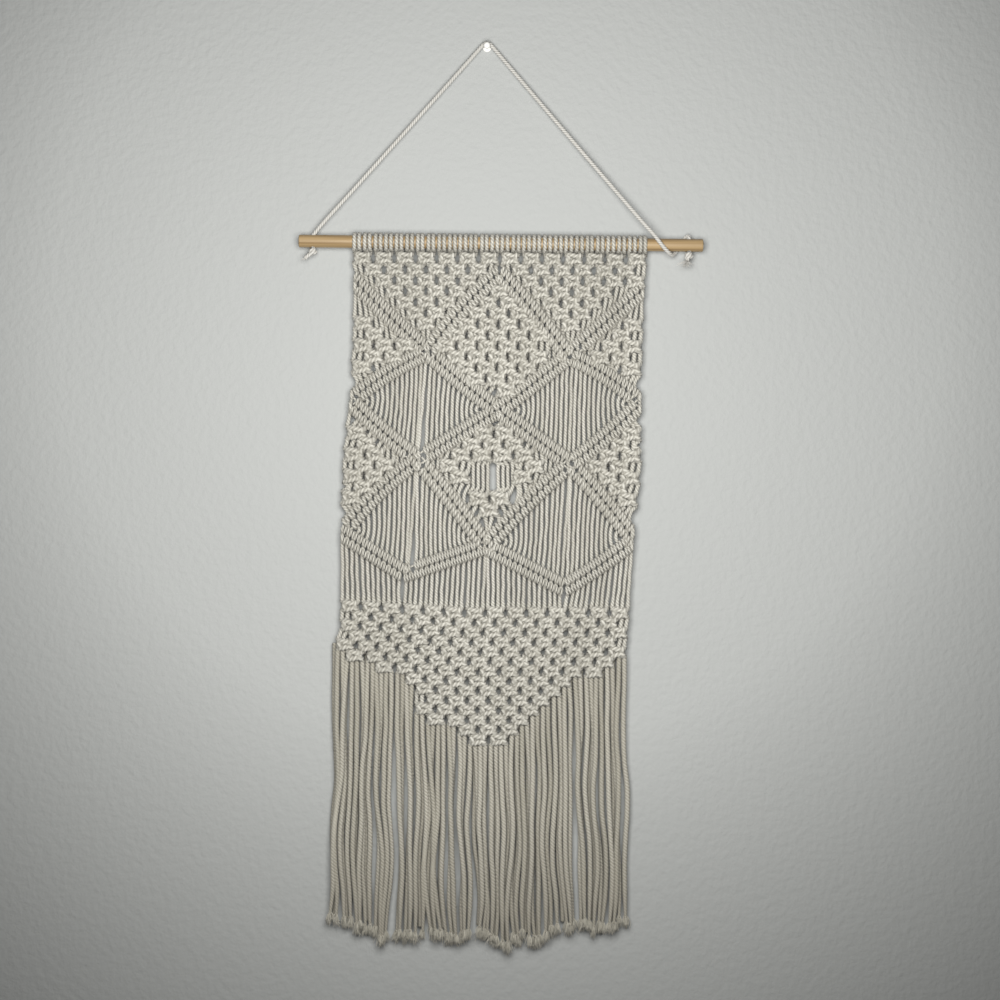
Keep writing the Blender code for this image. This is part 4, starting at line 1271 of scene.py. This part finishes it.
def fringe_route(start, bottom_x, depth):
    """Hangs from start to the trimmed edge; start is (x, depth, drop)."""
    for parting in PARTINGS:
        away = bottom_x - parting.x
        bottom_x += math.copysign(parting.width * math.exp(-((away / PARTING_REACH) ** 2)), away)
    end = fringe_end(bottom_x)
    points = [start]
    count = int((end - start[2]) / FRINGE_SPAN)
    drift = 0.0
    for i in range(1, count + 1):
        share = i / count
        drop = mix(start[2], end, share)
        drift = DRIFT_KEPT * drift + swinging.gauss(0, DRIFT_STEP)
        x = mix(start[0], bottom_x, share)
        x += drift + fringe_sway(x, drop) * min(1.0, 2 * share)
        settled = mix(start[1], depth, min(1.0, 3 * share))
        points.append((x, settled + swinging.uniform(-DEPTH_UNEVEN, DEPTH_UNEVEN), drop))
    return points


def fringe_place(share):
    """x at a share of the fringe's width, a little uneven."""
    return mix(FRINGE_LEFT, FRINGE_RIGHT, share) + swinging.gauss(0, SPACING_UNEVEN)


def hidden_route(spot):
    """A holding cord's end, from behind the V down behind the gap between two other cords."""
    share = (spot + 0.5) / (CORDS - 1)
    x = mix(FRINGE_LEFT, FRINGE_RIGHT, share)
    edge = float(np.interp(x, [joint.x for joint in V_EDGE], [joint.drop for joint in V_EDGE]))
    return fringe_route((x, BEHIND_DEPTH, edge - BEHIND_RISE), fringe_place(share), BEHIND_DEPTH)


# Painted shade: the fringe is the panel's own cotton given darker colours for the dimmer light low down,
# and it darkens further towards the cut ends
shaded_fringe_cotton = cotton(
    "shaded_fringe_cotton",
    (0.43, 0.414, 0.36, 1.0),
    (0.335, 0.321, 0.27, 1.0),
    (770.0, 890.0, (0.25, 0.235, 0.196, 1.0)),
)
fringe_profile = ply_profile("fringe_profile", CORD_D / 2, 3)
fringe_routes = []
for spot, index in enumerate(fringe_order()):
    depth = PANEL_DEPTH + LAYER_DEPTH * (1 if index % 2 else -1)
    start = routes[index][0][-1]
    fringe_routes.append(fringe_route(start, fringe_place(spot / (CORDS - 1)), depth))
shades = [swinging.random() for _ in fringe_routes]
for side, span in (("left", range(CORDS // 2)), ("right", range(CORDS // 2, CORDS))):
    laid = []
    for index in span:
        route = fringe_routes[index]
        girths = [FRINGE_GIRTH] * (len(route) - 1) + [END_GIRTH]
        laid.append(smooth_route(route, 0.0, girths, per_span=8))
    piece = lay_cords("fringe_" + side, fringe_profile, laid, [shades[index] for index in span])
    fit_piece(piece, shaded_fringe_cotton, "fringe", "fringe")
    cord_pieces.append((piece, laid))
hidden_routes = [hidden_route(2 * i) for i in range(BEHIND)]
laid = [smooth_route(route, 0.0, FRINGE_GIRTH, per_span=8) for route in hidden_routes]
# Painted shade: the ends behind all take a dark tone, as they hang in the shadow of the cords in front
piece = lay_cords("fringe_behind", cord_profile, laid, [0.2] * BEHIND)
fit_piece(piece, shaded_fringe_cotton, "fringe", "fringe")
cord_pieces.append((piece, laid))
loose = []
for route in fringe_routes:
    downward = np.array(route[-1]) - np.array(route[-2])
    start = np.array(route[-1]) - downward / np.linalg.norm(downward) * FRAY_START
    length = FRAY_START + TUFT * swinging.uniform(*TUFT_UNEVEN)
    loose += frayed(start, downward, FIBRES, length, TUFT_SPREAD)
tufts = lay_cords("fringe_tufts", fibre_profile, loose, [drawing.random() for _ in loose])
# The tufts take the fringe's darker tone, painted shade for the dimmer light low down
shaded_frayed_cotton = cotton("shaded_frayed_cotton", (0.46, 0.44, 0.38, 1.0), (0.36, 0.345, 0.29, 1.0))
fit_piece(tufts, shaded_frayed_cotton, "fringe", "fringe")

# ---------------------------------------------------------------------------------------------
# Painted shade between the cords: the cotton's colour is darkened where a cord's surface faces
# another cord close by. Each point of a cord's mesh carries this painted shade, found from how near
# any cord's middle line comes to a spot just off the surface there.

CREVICE_REACH = 1.8  # from the surface, for a cord of full thickness; the others are in proportion
CREVICE_OPEN = 3.6  # no shade when the nearest middle line is this far from that spot
CREVICE_CLOSED = 1.45  # full shade


def shade_crevices(pieces):
    """Paints shade into each piece's colour. pieces holds (piece, the cords laid in it)."""
    middles = np.concatenate([rings for _, laid in pieces for rings, _, _ in laid]) * (MM, MM, -MM)
    tree = KDTree(len(middles))
    for i, middle in enumerate(middles):
        tree.insert(middle, i)
    tree.balance()
    for piece, _ in pieces:
        count = len(piece.data.vertices)
        places, outward, girths = np.empty(3 * count), np.empty(3 * count), np.empty(count)
        piece.data.vertices.foreach_get("co", places)
        piece.data.vertex_normals.foreach_get("vector", outward)
        piece.data.attributes["girth"].data.foreach_get("value", girths)
        reach = girths.reshape(-1, 1) * CREVICE_REACH * MM
        spots = places.reshape(-1, 3) + outward.reshape(-1, 3) * reach
        near = np.array([tree.find(spot)[2] for spot in spots]) / MM / girths
        shade = (CREVICE_OPEN - near) / (CREVICE_OPEN - CREVICE_CLOSED)
        paint_points(piece.data, "crevice_shade", np.clip(shade, 0.0, 1.0))


shade_crevices(cord_pieces)

for profile in (hanger_profile, fibre_profile, cord_profile, fringe_profile):
    bpy.data.objects.remove(profile)
